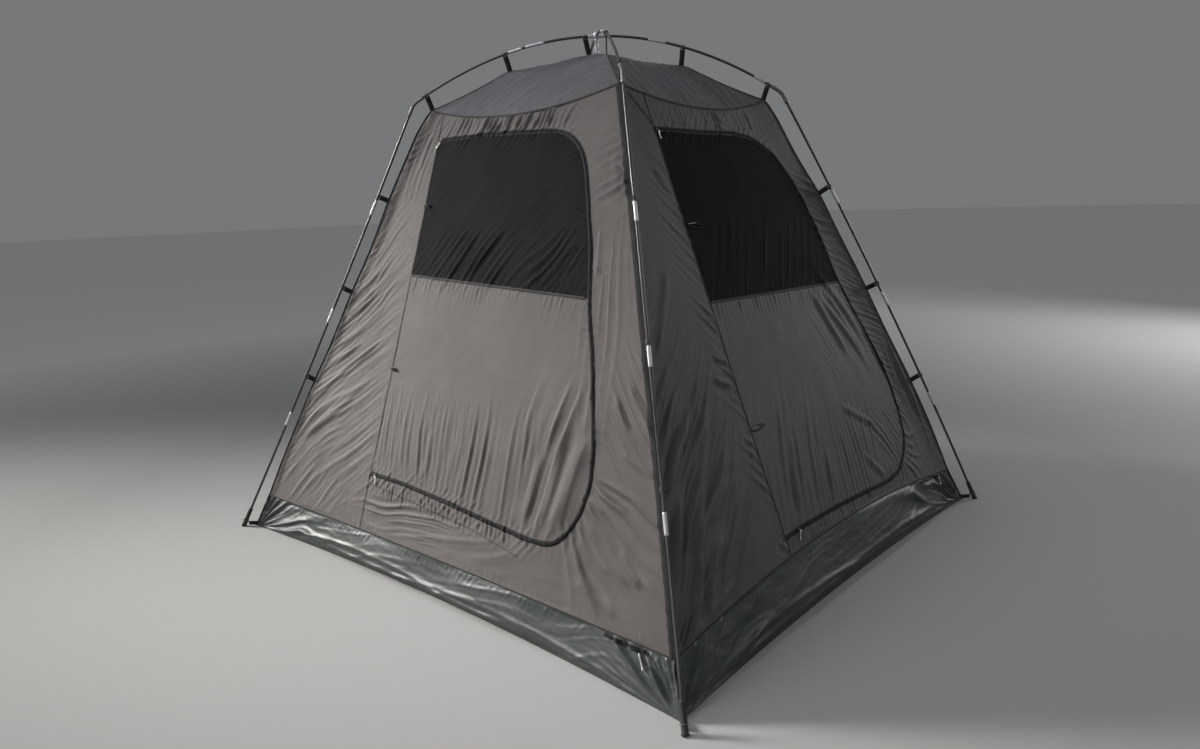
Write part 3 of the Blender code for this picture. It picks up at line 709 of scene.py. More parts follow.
def resample(line, count):
    """count points at equal distances along a line."""
    s = lengths(line)
    return np.stack([np.interp(np.linspace(0, s[-1], count), s, line[:, i]) for i in range(line.shape[1])], 1)


def rounded(line, count, window_length=0.07):
    """A line resampled, its inner points averaged with their neighbours over a window, its ends kept."""
    line = resample(np.asarray(line, float), count)
    wide = max(3, int(window_length / (lengths(line)[-1] / count)) | 1)
    pad = wide // 2
    longer = np.concatenate([2 * line[:1] - line[pad:0:-1], line, 2 * line[-1:] - line[-2:-pad - 2:-1]])
    weights = np.hanning(wide + 2)[1:-1]
    weights /= weights.sum()
    return np.stack([np.convolve(longer[:, i], weights, "valid") for i in range(2)], 1)


ZIP = {like: rounded(points, 900) for like, points in ZIP_POINTS.items()}
for like, line in ZIP.items():
    print(like, "zip", round(float(lengths(line)[-1]), 3), "m")


# %% Distance to a zip line
def beside(line, a, z):
    """For each (a, z): how far along the line its nearest point is, and the distance off it, left positive."""
    every = 9
    thin, s = line[::every], lengths(line)[::every]
    flat = np.stack([np.ravel(a), np.ravel(z)], 1)
    best, along, off = np.full(len(flat), 9.0), np.zeros(len(flat)), np.zeros(len(flat))
    for i in range(len(thin) - 1):
        run = thin[i + 1] - thin[i]
        long = np.hypot(*run)
        t = np.clip((flat - thin[i]) @ run / long ** 2, 0, 1)
        gap = flat - thin[i] - t[:, None] * run
        away = np.hypot(*gap.T)
        closer = away < best
        best = np.where(closer, away, best)
        along = np.where(closer, s[i] + t * long, along)
        left = run[0] * gap[:, 1] - run[1] * gap[:, 0]
        off = np.where(closer, np.sign(left) * away, off)
    return along.reshape(np.shape(a)), off.reshape(np.shape(a))


def free_side(like, z):
    """Across of the zip's free side at a height."""
    line = ZIP[like]
    middle = line[line[:, 0] > 0.3]
    order = np.argsort(middle[:, 1])
    return np.interp(z, middle[order, 1], middle[order, 0])


# %% [markdown]
# ### The folds of each wall
# The photograph shows which way each area of cloth is pulled: diagonal tension between the corner straps and
# the door seam, pleats where the mesh is eased onto the panel, long hanging folds at the bottom of the doors.
# Each row below is one such group, in metres on the wall, its lean in degrees. The unseen back and left walls
# use the tables of the walls that they face.

# %% Fold tables
PLEATS = {
    "front": (  # centre, half size, lean, spacing, height
        ((-0.74, 0.70), (0.30, 0.46), 54, 0.056, 0.0058), ((-0.70, 0.85), (0.26, 0.50), 50, 0.026, 0.0018),
        ((-0.60, 1.20), (0.12, 0.22), 42, 0.034, 0.0028), ((-0.50, 1.55), (0.10, 0.17), 15, 0.028, 0.0022),
        ((-0.02, 1.652), (0.34, 0.046), 22, 0.024, 0.0090), ((0.585, 1.45), (0.10, 0.13), 54, 0.030, 0.0056),
        ((0.63, 0.98), (0.10, 0.32), -9, 0.036, 0.0036), ((0.82, 0.74), (0.12, 0.20), -44, 0.034, 0.0056),
        ((0.10, 1.165), (0.44, 0.100), 41, 0.034, 0.0054), ((0.0, 1.30), (0.40, 0.16), 38, 0.060, 0.0016),
        ((-0.12, 0.50), (0.30, 0.165), -6, 0.030, 0.0047), ((-0.10, 0.52), (0.30, 0.17), -10, 0.019, 0.0024),
        ((0.22, 0.48), (0.22, 0.170), -3, 0.032, 0.0053), ((0.50, 0.55), (0.14, 0.22), 8, 0.056, 0.0085),
        ((0.10, 0.305), (0.46, 0.032), -8, 0.022, 0.0050), ((-0.15, 0.235), (0.26, 0.060), 84, 0.028, 0.0060),
        ((-0.80, 0.24), (0.22, 0.07), 40, 0.040, 0.0034), ((0.10, 0.22), (0.55, 0.05), 78, 0.050, 0.0026),
    ),
    "right": (
        ((-0.74, 0.52), (0.24, 0.34), 41, 0.052, 0.0150), ((-0.68, 0.62), (0.26, 0.36), 44, 0.024, 0.0034),
        ((-0.40, 1.30), (0.06, 0.24), -46, 0.028, 0.0042), ((-0.44, 0.42), (0.10, 0.22), 52, 0.038, 0.0070),
        ((0.05, 1.640), (0.36, 0.045), -12, 0.026, 0.0046), ((0.60, 1.33), (0.12, 0.16), -72, 0.036, 0.0060),
        ((0.76, 0.98), (0.11, 0.22), -55, 0.042, 0.0088), ((0.84, 0.52), (0.09, 0.26), -12, 0.044, 0.0060),
        ((0.48, 0.86), (0.18, 0.18), -26, 0.066, 0.0085), ((-0.10, 0.46), (0.28, 0.20), 20, 0.048, 0.0050),
        ((0.20, 0.40), (0.30, 0.16), 8, 0.030, 0.0040), ((0.55, 0.38), (0.14, 0.10), -40, 0.034, 0.0036),
        ((0.10, 1.15), (0.40, 0.12), 30, 0.050, 0.0036), ((0.05, 0.215), (0.42, 0.030), 4, 0.024, 0.0030),
        ((-0.80, 0.20), (0.20, 0.06), 74, 0.034, 0.0052), ((0.80, 0.26), (0.14, 0.07), 60, 0.036, 0.0040),
    ),
}
FANS = {
    "front": (  # focus, angles, nearest, furthest, step, height
        ((0.50, 0.60), (-75, -8), 0.20, 0.62, 7.0, 0.0135), ((0.30, 1.45), (5, 80), 0.17, 0.30, 9.0, 0.0026),
        ((-0.497, 1.735), (-125, -88), 0.03, 0.26, 7.0, 0.0035),
    ),
    "right": (
        ((0.52, 0.40), (-70, 40), 0.16, 0.40, 10.0, 0.0050), ((-1.05, 0.10), (5, 62), 0.08, 0.50, 7.5, 0.0115),
        ((0.40, 1.42), (10, 80), 0.16, 0.28, 10.0, 0.0026),
    ),
}
CREASES = {
    "front": (  # from, to, width, height
        (-0.935, 0.403, -0.600, 0.635, 0.016, 0.0056), (-0.888, 0.806, -0.618, 1.013, 0.015, 0.0052),
        (-0.965, 0.532, -0.663, 0.743, 0.014, 0.0046), (-0.840, 0.930, -0.560, 1.140, 0.014, 0.0042),
        (0.923, 0.269, 0.692, 0.416, 0.015, 0.0070), (0.839, 0.286, 0.679, 0.362, 0.012, 0.0050),
        (0.897, 0.184, 0.692, 0.253, 0.018, 0.0050), (0.869, 0.466, 0.710, 0.501, 0.011, 0.0060),
        (0.771, 0.445, 0.696, 0.481, 0.009, 0.0050), (0.934, 0.580, 0.781, 0.629, 0.012, 0.0050),
        (0.952, 0.278, 0.848, 0.370, 0.012, 0.0055), (0.900, 0.678, 0.761, 0.828, 0.012, 0.0055),
        (0.807, 0.687, 0.723, 0.768, 0.011, 0.0050), (0.622, 1.433, 0.528, 1.509, 0.011, 0.0060),
        (0.635, 1.401, 0.533, 1.468, 0.011, 0.0060), (0.640, 1.362, 0.539, 1.428, 0.011, 0.0060),
        (-0.495, 1.728, -0.556, 1.512, 0.008, 0.0035), (-0.447, 1.643, -0.488, 1.485, 0.008, 0.0035),
        (0.521, 1.488, 0.659, 1.355, 0.010, 0.0050), (0.537, 1.285, 0.561, 1.104, 0.010, 0.0035),
        (-0.089, 1.100, 0.077, 1.288, 0.013, 0.0030), (0.303, 1.075, 0.458, 1.248, 0.013, 0.0030),
        (0.650, 0.660, 0.575, 0.345, 0.026, 0.0120), (0.560, 0.660, 0.520, 0.340, 0.022, 0.0085),
        (0.470, 0.580, 0.440, 0.345, 0.018, 0.0070), (-0.094, 0.577, -0.083, 0.391, 0.014, 0.0050),
        (-0.264, 0.597, -0.234, 0.407, 0.014, 0.0045),
    ),
    "right": (
        (-0.795, 0.367, -0.528, 0.712, 0.022, 0.0150), (-0.510, 1.147, -0.694, 0.888, 0.013, 0.0060),
        (-0.814, 0.524, -0.655, 0.704, 0.015, 0.0090), (-0.688, 0.397, -0.539, 0.500, 0.015, 0.0090),
        (-0.898, 0.195, -0.769, 0.329, 0.015, 0.0090), (-0.754, 0.271, -0.655, 0.355, 0.013, 0.0080),
        (-0.425, 1.466, -0.364, 1.400, 0.009, 0.0050), (-0.416, 1.433, -0.354, 1.366, 0.009, 0.0050),
        (-0.424, 0.853, -0.349, 0.820, 0.010, 0.0070), (-0.455, 0.786, -0.367, 0.749, 0.011, 0.0080),
        (-0.407, 1.243, -0.345, 1.205, 0.009, 0.0050), (-0.388, 0.969, -0.345, 0.955, 0.009, 0.0050),
        (0.330, 1.002, 0.471, 0.708, 0.015, 0.0080), (0.608, 0.891, 0.758, 0.568, 0.013, 0.0050),
        (0.430, 1.000, 0.600, 0.700, 0.015, 0.0070), (-0.111, 0.557, -0.221, 0.292, 0.013, 0.0050),
        (0.268, 0.567, 0.512, 0.434, 0.013, 0.0050), (0.330, 0.372, 0.456, 0.249, 0.013, 0.0050),
        (0.501, 1.418, 0.753, 1.378, 0.012, 0.0055), (0.692, 1.148, 0.854, 1.040, 0.012, 0.0055),
        (-0.892, 0.152, -0.616, 0.176, 0.012, 0.0050),
    ),
}
print("fold groups", sum(len(rows) for table in (PLEATS, FANS, CREASES) for rows in table.values()))


# %% The relief of a wall
def mesh_line(like, a):
    """Height of the seam between a door's panel and its mesh, straight from the hinge to near the zip."""
    low, high = MESH_ENDS[like]
    return low + (high - low) * (a - HINGE[like]) / (MESH_END_A - HINGE[like])


def relief(wall, a, z):
    """How far the cloth stands off the flat wall: folds, puckered seams and a slow drift, 0 at its borders."""
    like = WALLS[wall]["like"]
    seed = 100 * list(WALLS).index(wall)
    total = 0.0022 * noise(a / 0.24, z / 0.33, seed) + 0.0011 * noise(a / 0.075, z / 0.11, seed + 1)
    for i, row in enumerate(PLEATS[like]):
        total = total + pleats(a, z, *row, seed + 10 + i)
    for i, row in enumerate(FANS[like]):
        total = total + fan(a, z, *row, seed + 40 + i)
    for row in CREASES[like]:
        total = total + crease(a, z, *row)
    along, off = beside(ZIP[like], a, z)
    hinge, below = a - HINGE[like], mesh_line(like, a) - z
    low, top = z - low_edge(wall, a), top_edge(wall, a) - z
    beside_hinge = window(a, z, (-0.4, 0.8), (0.5, 0.58)) if like == "right" else 0
    on_door = smooth((off + 0.01) / 0.02) * smooth(hinge / 0.03)
    puckered = (  # share, along the seam, away from it, spacing, height, reach, slant
        (1, along, -off, 0.032, 0.0050, 0.018, 0.8), (1, along, off, 0.028, 0.0038, 0.015, -0.7),
        (beside_hinge, z, -hinge, 0.046, 0.0070, 0.024, -0.9), (1, z, -hinge, 0.024, 0.0018, 0.010, 0.8),
        (1, z, hinge, 0.028, 0.0012, 0.010, -0.8), (on_door, a, below, 0.0235, 0.0052, 0.020, 0.12),
        (on_door, a, -below, 0.030, 0.0030, 0.020, -0.5), (1, a, low, 0.030, 0.0016, 0.012, 0.2),
        (1, a, top, 0.026, 0.0020, 0.012, 0.3))
    for i, (share, *row) in enumerate(puckered):
        total = total + share * gathers(*row, seed + 50 + i)
    for side in (-1, 1):
        edge = edge_at(wall, z) - side * a
        total = total + gathers(z, edge, 0.034, 0.0034, 0.020, -0.7, seed + 59 + side) * smooth(edge / 0.01)
        total = total * smooth(edge / 0.018)
    return total * smooth(low / 0.012) * smooth(top / 0.012)


# %% [markdown]
# `on_wall` is the one function that every piece of a wall goes through: cloth, zips, tapes and loops. It takes
# a place on the flat wall, and gives the point in the room after the corner seams have been pulled and the
# folds raised. Because all pieces share it, they stay sewn to each other.


# %% From a wall's own coordinates to the room
def on_wall(wall, a, z, lift=0.0, folds=True):
    """across * a + outward * its distance + up * z, pulled along the diagonals, then moved along the normal."""
    data = WALLS[wall]
    outward, like = data["outward"], data["like"]
    a, z = np.broadcast_arrays(np.asarray(a, float), np.asarray(z, float))
    point = a[..., None] * data["across"] + outward_at(wall, z)[..., None] * outward + z[..., None] * UP
    edge = edge_at(wall, z)
    for side, corner, inner in ((-1, data["left"], -HINGE[like]), (1, data["right"], free_side(like, z))):
        width = np.clip(edge - inner, 0.05, 0.34)
        share = np.clip(1 - (edge - side * a) / width, 0, 1.02) ** 2
        point = point + (pull(corner, z) * share)[..., None] * diagonal(corner)
    normal = unit(outward + np.array([0, 0, LEAN * data["half"][1] / DIAGONAL]))
    height = np.asarray((relief(wall, a, z) if folds else 0.0) + lift)
    return point + height[..., None] * normal


# %% [markdown]
# ### Patches
# A piece of a wall has four sides, each a line on the wall: a Coons patch blends them into a grid. The cloth
# round a door has two, the zip and the wall's border, so its grid runs straight from one to the other.


# %% Grids on a wall
def coons(bottom, top, left, right):
    """Four sides to a grid: the blend of opposite sides, twice, less the blend of the corners."""
    u = np.linspace(0, 1, len(bottom))[None, :, None]
    v = np.linspace(0, 1, len(left))[:, None, None]
    sides = (1 - v) * bottom[None] + v * top[None] + (1 - u) * left[:, None] + u * right[:, None]
    corners = (1 - u) * (1 - v) * bottom[0] + u * (1 - v) * bottom[-1] + (1 - u) * v * top[0] + u * v * top[-1]
    return sides - corners


def ruled(inner, outer, rows):
    """Straight lines from each point of one line to the same point of the other."""
    v = np.linspace(0, 1, rows)[:, None, None]
    return (1 - v) * inner[None] + v * outer[None]


def area_of(points):
    """Area of a grid of points: half the cross product of each cell's diagonals."""
    cross = np.cross(points[1:, 1:] - points[:-1, :-1], points[1:, :-1] - points[:-1, 1:])
    return float(np.linalg.norm(cross, axis=-1).sum() / 2)


CUTS = {}


def declare_cut(sheet, points, uv):
    """The cut is the least rectangle that the flat piece fits; its area is that of the cloth with its folds."""
    turns = np.radians(np.arange(90))
    edge = np.concatenate([uv[0], uv[-1], uv[:, 0], uv[:, -1]])
    x = edge[:, :1] * np.cos(turns) + edge[:, 1:] * np.sin(turns)
    y = edge[:, 1:] * np.cos(turns) - edge[:, :1] * np.sin(turns)
    best = np.argmin(np.ptp(x, axis=0) * np.ptp(y, axis=0))
    size, area = np.array([np.ptp(x, axis=0)[best], np.ptp(y, axis=0)[best]]), area_of(points)
    width, length = (float(v) for v in size * max(1.0, math.sqrt(area / size.prod())))
    min(area, width * length)
    CUTS[sheet.name] = (round(width, 3), round(length, 3), round(area, 3))


def with_rim(flat):
    """A grid with one more row and column on every side, each as far on as the last two are apart."""
    for _ in range(2):
        flat = np.concatenate([2 * flat[:1] - flat[1:2], flat, 2 * flat[-1:] - flat[-2:-1]]).swapaxes(0, 1)
    return flat


def cloth(name, wall, flat, stands_for, rests_on, body="tent", net=False, closed=False):
    """
    A sheet of cloth, or of net, on a wall from its grid of (across, height), the size that it was cut to worked
    out and kept in CUTS. Its normals come from the folded wall beyond its own edges too, so that two sheets
    that meet are shaded as one.
    """
    rim = with_rim(flat)
    wide = on_wall(wall, rim[..., 0], rim[..., 1])
    shape = wide[1:-1, 1:-1]
    normals = unit(np.cross(wide[1:-1, 2:] - wide[1:-1, :-2], wide[2:, 1:-1] - wide[:-2, 1:-1]))
    slope = math.hypot(1, LEAN * WALLS[wall]["half"][1] / DIAGONAL)
    uv = flat * np.array([1, slope])
    last = -1 if closed else None
    made = grid(shape[:, :last], uv, closed=closed)
    material, slot = (NET, "window_mesh") if net else (WALL_CLOTH, "wall_polyester")
    sheet = piece(name, made, material, slot, body, [stands_for])
    sheet.data.normals_split_custom_set_from_vertices(normals[:, :last].reshape(-1, 3))
    declare_cut(sheet, shape, uv)
    print(name, len(made[1]) * 2, "triangles, cut", CUTS[name])
    return sheet


# %% Lines that bound the pieces
def line_between(start, end, count):
    return np.linspace(start, end, count)


def border(wall, start, end, count, which):
    """Part of the roof seam or the bathtub seam, from one across to another."""
    a = np.linspace(start, end, count)
    return np.stack([a, which(wall, a)], 1)


def corner_line(wall, side, low, high, count):
    """A wall's corner seam, from one height to another."""
    z = np.linspace(low, high, count)
    return np.stack([side * edge_at(wall, z), z], 1)


def split_zip(like):
    """The zip line cut at the middle of its lower and upper round, and where the mesh seam meets it."""
    line = ZIP[like]
    low_corner = int(np.argmax(line[:, 0] - 2.0 * line[:, 1]))
    high_corner = int(np.argmax(line[:, 0] + 1.0 * line[:, 1]))
    seam = int(np.argmin(np.abs(line[:, 1] - mesh_line(like, line[:, 0])) + 9 * (line[:, 0] < 0.3)))
    return line, low_corner, seam, high_corner


for like in ZIP:
    line, low_corner, seam, high_corner = split_zip(like)
    print(like, "zip corners", line[low_corner].round(3), line[seam].round(3), line[high_corner].round(3))

# %% [markdown]
# ## The doored walls
# Front and right wall: a strip on the hinge side, the cloth round the zip in one run, and the door, which is a
# mesh above and a panel below. The door's pieces ride on the door's own body, so they swing with it.

# %% Build the front and right walls
FINE, PLAIN = 0.0050, 0.0100


def steps(length, size=FINE):
    """How many points a line of about this length gets."""
    return max(4, int(length / size))


def corner_to_corner(wall, side, count):
    """The whole corner seam of a wall, upwards."""
    return corner_line(wall, side, BAND_Z, ROOF_CORNER_Z, count)


def hinge_strip(wall):
    """From the corner seam to the hinge seam."""
    hinge, left_low, left_high = HINGE[wall], -edge_at(wall, BAND_Z), -edge_at(wall, ROOF_CORNER_Z)
    across, tall = steps(hinge - left_low), steps(1.6)
    return coons(border(wall, left_low, hinge, across, low_edge),
                 border(wall, left_high, hinge, across, top_edge), corner_to_corner(wall, -1, tall),
                 line_between((hinge, low_edge(wall, hinge)), (hinge, top_edge(wall, hinge)), tall))


def around_zip(wall):
    """Sill, zip strip and header: from the bathtub seam, the far corner and the roof seam in to the zip."""
    line, low_corner, _, high_corner = split_zip(wall)
    hinge, low, high = HINGE[wall], edge_at(wall, BAND_Z), edge_at(wall, ROOF_CORNER_Z)
    sill, side, header = steps(1.35), steps(1.55), steps(0.90)
    inner = (resample(line[:low_corner + 1], sill), resample(line[low_corner:high_corner + 1], side),
             resample(line[high_corner:], header))
    outer = (border(wall, hinge, low, sill, low_edge), corner_to_corner(wall, 1, side),
             border(wall, high, hinge, header, top_edge))
    return [ruled(a, b, steps(0.34))[::-1] for a, b in zip(inner, outer)]


def window_ring(like, seam_count, side_count, top_count, hinge_count):
    """The mesh window's outline from its lower hinge corner: seam, free side, top, hinge side."""
    line, _, seam, high_corner = split_zip(like)
    start, end = (HINGE[like], MESH_ENDS[like][0]), (HINGE[like], line[-1, 1])
    side, top = line[seam:high_corner + 1], line[high_corner:]
    return (line_between(start, tuple(line[seam]), seam_count), resample(side, side_count),
            resample(top, top_count), line_between(end, start, hinge_count))


def door_panel(like):
    """The panel below the mesh seam."""
    line, low_corner, seam, _ = split_zip(like)
    start, across, tall = (HINGE[like], MESH_ENDS[like][0]), steps(1.05), steps(0.72)
    low, side = line[:low_corner + 1], line[low_corner:seam + 1]
    return coons(resample(low, across), line_between(start, tuple(line[seam]), across),
                 line_between((HINGE[like], line[0, 1]), start, tall), resample(side, tall))


def window_mesh(like, size):
    """The mesh above its seam."""
    across, tall = steps(1.05, size), steps(0.56, size)
    seam, side, top, hinge = window_ring(like, across, tall, across, tall)
    return coons(seam, top[::-1], hinge[::-1], side)


for wall in DOORED:
    left, right = (WALLS[wall][key] + "_webbing" for key in ("left", "right"))
    cloth(f"{wall}_strip", wall, hinge_strip(wall), f"{wall}_wall_hinge_strip", left)
    for part, flat in zip(("sill", "zip_strip", "header"), around_zip(wall)):
        cloth(f"{wall}_{part}", wall, flat, f"{wall}_wall_{part}", right)
    door = f"{wall}_door"
    cloth(f"{wall}_panel", wall, door_panel(wall), f"{door}_panel", f"{wall}_strip", door)
    cloth(f"{wall}_net", wall, window_mesh(wall, FINE), f"{door}_mesh", f"{wall}_strip", door, net=True)

# %% [markdown]
# ## The plain walls
# The back and left walls can't be seen. They repeat the doored walls' storeys: the same outline of mesh window,
# sewn in for good, in one sheet of cloth whose grid is a closed ring from the wall's border in to the window.


# %% Build the back and left walls
def joined(lines):
    """Lines end to end, their shared ends only once."""
    return np.concatenate([lines[0], *(line[1:] for line in lines[1:])])


for wall in PLAIN_WALLS:
    like, low, high = WALLS[wall]["like"], edge_at(wall, BAND_Z), edge_at(wall, ROOF_CORNER_Z)
    counts = [steps(length, PLAIN) for length in (1.6, 1.2, 0.95, 1.2)]
    outer = (border(wall, -low, low, counts[0], low_edge), corner_to_corner(wall, 1, counts[1]),
             border(wall, high, -high, counts[2], top_edge),
             corner_line(wall, -1, ROOF_CORNER_Z, BAND_Z, counts[3]))
    ring = ruled(joined(window_ring(like, *counts)), joined(outer), steps(0.62, PLAIN))[::-1]
    cloth(f"{wall}_sheet", wall, ring, f"{wall}_wall", "back_left_webbing", closed=True)
    cloth(f"{wall}_net", wall, window_mesh(like, PLAIN), f"{wall}_window_mesh", f"{wall}_sheet", net=True)

# %% [markdown]
# ## Roof
# Four panels meet at the hips, under the poles. Each hangs between its hips and its sagging seam with the wall.
# A panel is a grid of share, from the peak to the seam, by place, from hip to hip, and its folds run from the
# seam up towards the peak, as in the photograph.


# %% Build the roof
def roof_relief(wall, a, away, place, share):
    """Diagonal folds, puckers along the seam and the hips, and a slow drift, 0 at the hips and the seam."""
    seed = 700 + 50 * list(WALLS).index(wall)
    lean = {"front": 40, "right": 24, "back": 32, "left": 38}[wall]
    total = 0.0035 * noise(a / 0.20, away / 0.20, seed) + 0.0014 * noise(a / 0.07, away / 0.09, seed + 1)
    total = total + pleats(a, -away, (-0.06, -0.30), (0.46, 0.24), lean, 0.050, 0.0090, seed + 2, run=0.22)
    total = total + pleats(a, -away, (0.05, -0.22), (0.34, 0.20), lean + 8, 0.026, 0.0030, seed + 3)
    total = total + pleats(a, -away, (0.22, -0.34), (0.18, 0.12), 58, 0.034, 0.0045, seed + 4)
    seam = (1 - share) * 0.42
    total = total + gathers(a, seam, 0.028, 0.0022, 0.014, 0.6, seed + 5)
    hip = (1 - np.abs(place)) * np.abs(away) * 0.9
    total = total + gathers(away, hip, 0.036, 0.0026, 0.018, 0.9, seed + 6)
    return total * smooth(hip / 0.02) * smooth(seam / 0.012)


def roof_grid(wall, size):
    """The sides are the hips, the seam edge is the wall's own top edge, and the sag grows as share squared."""
    high = edge_at(wall, ROOF_CORNER_Z)
    place = np.linspace(-1, 1, steps(2 * high, size))[None, :]
    share = np.linspace(0.006, 1, steps(0.46, size))[:, None]
    a = place * share * high
    edge_z = top_edge(wall, place * high)
    outward = share * outward_at(wall, edge_z)
    arch = PEAK_Z - ARCH * (share * ROOF_REACH) ** 2
    hip, middle = arch - hip_z(share * ROOF_REACH), 1 - place ** 2
    taut = hip * (0.3 + 0.7 * place ** 2) + 0.014 * share * (1 - share) * middle
    z = arch - taut - ROOF_SAG * share ** 2 * middle + SINK * (1 - share)
    flat = np.stack([a, outward + 0 * a], -1)
    data = WALLS[wall]
    base = a[..., None] * data["across"] + outward[..., None] * data["outward"] + z[..., None] * UP
    rise = roof_relief(wall, a, outward, place + 0 * a, share + 0 * a)
    normal = unit(np.cross(np.gradient(base, axis=1), np.gradient(base, axis=0)))
    normal = normal * np.sign(normal[..., 2:])
    return base, base + rise[..., None] * normal, flat


for wall in WALLS:
    base, points, flat = roof_grid(wall, 0.0066 if wall in DOORED else 0.0090)
    uv = np.stack([flat[..., 0], np.hypot(flat[..., 1], PEAK_Z - base[..., 2])], -1)
    shape = grid(points[::-1], uv[::-1])
    panel = piece(f"{wall}_roof_panel", shape, ROOF_CLOTH, "roof_polyester", stands_for=[f"{wall}_roof"])
    declare_cut(panel, points, uv)
    print(panel.name, len(shape[1]) * 2, "triangles, cut", CUTS[panel.name])

# %% [markdown]
# ## Bathtub and groundsheet
# The floor turns up at its edges into a low wall of laminate. Each side leans in from the floor to the seam,
# bows inwards between the corners and is full of creases. They fan out from the corners, where it is pulled.


# %% The relief of the bathtub
def crisp(x, y, seed):
    """Sharp lines where a noise passes zero, 1 - 3 |noise|, at two sizes."""
    big = 1 - 3.0 * np.abs(noise(x, y, seed))
    small = 1 - 3.0 * np.abs(noise(2.4 * x + 5, 2.4 * y, seed + 1))
    return np.maximum(big, -0.6) + 0.4 * np.maximum(small, -0.6)


def laminate_relief(wall, a, z, share):
    """Long creases along the side, fans from both floor corners, puckers at the seam, 0 at all four edges."""
    seed = 900 + 50 * list(WALLS).index(wall)
    end = edge_at(wall, 0.0)
    total = 0.0060 * noise(a / 0.30, z / 0.10, seed) + 0.0007 * crisp((a + 0.9 * z) / 0.17, z / 0.050, seed + 1)
    total = total + pleats(a, z, (0.0, 0.07), (1.3, 0.2), 82, 0.044, 0.0024, seed + 2, run=0.34)
    focus, angles = (-end, -0.012), (3, 84)
    for side in (-1, 1):
        total = total + fan(side * a, z, focus, angles, 0.05, 0.70, 10.5, 0.0145, seed + 4 + side)
        total = total + fan(side * a, z, focus, angles, 0.02, 0.44, 4.6, 0.0030, seed + 7 + side)
    long_creases = ((-1.04, 1.04, 0.010, 0.034), (-1.02, 0.30, 0.016, 0.062), (-0.35, 1.02, 0.014, 0.055))
    for start, stop, low, bow in long_creases:
        total = total + crease(a, z, start, low, stop, low, 0.0085, 0.0040, -bow)
    total = total + gathers(a, z * (1 - share) / np.maximum(share, 0.05), 0.026, 0.0022, 0.012, 0.5, seed + 9)
    return total * smooth(share / 0.12) * smooth((1 - share) / 0.07) * smooth((end - np.abs(a)) / 0.08)


# %% Build the bathtub
GROUND_LIFT = 0.0015


def foot_line(wall, place):
    """Where a side meets the ground: straight between the floor corners, less a parabola of bow."""
    half, bow = WALLS[wall]["half"], WALLS[wall]["bow"]
    outward = half[1] * FLOOR_REACH / DIAGONAL - SINK
    return place * outward * half[0] / half[1], outward - bow * (1 - place ** 2)


def on_bathtub(wall, a, z, lift=0.0, parts=False, folds=True):
    """
    Straight lines from seam to floor, pulled in to the bowed foot line only below a taut crease at 0.3 of the
    height, then moved along their normal by the relief, or without folds by the most of it, and the lift.
    """
    across, away, taut_crease = WALLS[wall]["across"], WALLS[wall]["outward"], 0.3
    place, share = a / edge_at(wall, BAND_Z), z / low_edge(wall, a)
    foot_a, foot_out = foot_line(wall, place)
    top = on_wall(wall, a, low_edge(wall, a), folds=False)
    bow = WALLS[wall]["bow"] * (1 - place ** 2)
    foot = foot_a[..., None] * across + (foot_out + bow)[..., None] * away + GROUND_LIFT * UP
    under = np.clip(1 - share / taut_crease, 0, 1) ** 1.2
    base = foot * (1 - share[..., None]) + top * share[..., None] - (bow * under)[..., None] * away
    tall = np.linalg.norm(top - foot, axis=-1)
    along, high = foot_a * (1 - share) + a * share, share * tall
    rise = laminate_relief(wall, along, high, share)
    rise = (rise if folds else np.full_like(rise, rise.max())) + lift
    points = base + rise[..., None] * unit(np.cross(across, top - foot))
    return (points, np.stack([along, high], -1)) if parts else points


for wall in WALLS:
    columns, rows = (560, 44) if wall in DOORED else (300, 24)
    a = np.linspace(-1, 1, columns)[None] * edge_at(wall, BAND_Z) + np.zeros((rows, 1))
    points, uv = on_bathtub(wall, a, np.linspace(0, 1, rows)[:, None] * low_edge(wall, a), parts=True)
    shape = grid(points, uv)
    tub = piece(f"{wall}_bathtub_side", shape, LAMINATE, "floor_polyethylene", stands_for=[f"bathtub_{wall}"])
    declare_cut(tub, points, uv)
    print(tub.name, len(shape[1]) * 2, "triangles, cut", CUTS[tub.name])


# %% Build the groundsheet
def ground_grid(count):
    """A Coons patch of the four foot lines, with low flat wrinkles."""
    place = np.linspace(-1, 1, count)
    sides = {}
    for wall, data in WALLS.items():
        a, out = foot_line(wall, place)
        sides[wall] = a[:, None] * data["across"][:2] + out[:, None] * data["outward"][:2]
    flat = coons(sides["front"], sides["back"][::-1], sides["left"][::-1], sides["right"])
    x, y = flat[..., 0], flat[..., 1]
    u = np.linspace(0, 1, count)
    rim = np.minimum(np.minimum(u, 1 - u)[None], np.minimum(u, 1 - u)[:, None])
    wrinkle = pleats(x, y, (0, 0), (1.2, 1.1), 30, 0.11, 0.004, 41, run=0.5)
    wrinkle = wrinkle + 0.0015 * noise(x / 0.3, y / 0.3, 42) + 0.002
    high = GROUND_LIFT + np.maximum(wrinkle, 0) * smooth(rim / 0.03)
    return np.concatenate([flat, high[..., None]], -1), flat


points, uv = ground_grid(170)
shape = grid(points, uv)
ground = piece("groundsheet_sheet", shape, LAMINATE, "floor_polyethylene", stands_for=["groundsheet"])
declare_cut(ground, points, uv)
print(ground.name, "cut", CUTS[ground.name])

# %% [markdown]
# ## Seams, tapes and zips
# Everything sewn onto a wall follows it: a strip is a profile carried along a line of the wall, each of its
# points put through `on_wall`, so that it rises and dips with the folds under it.


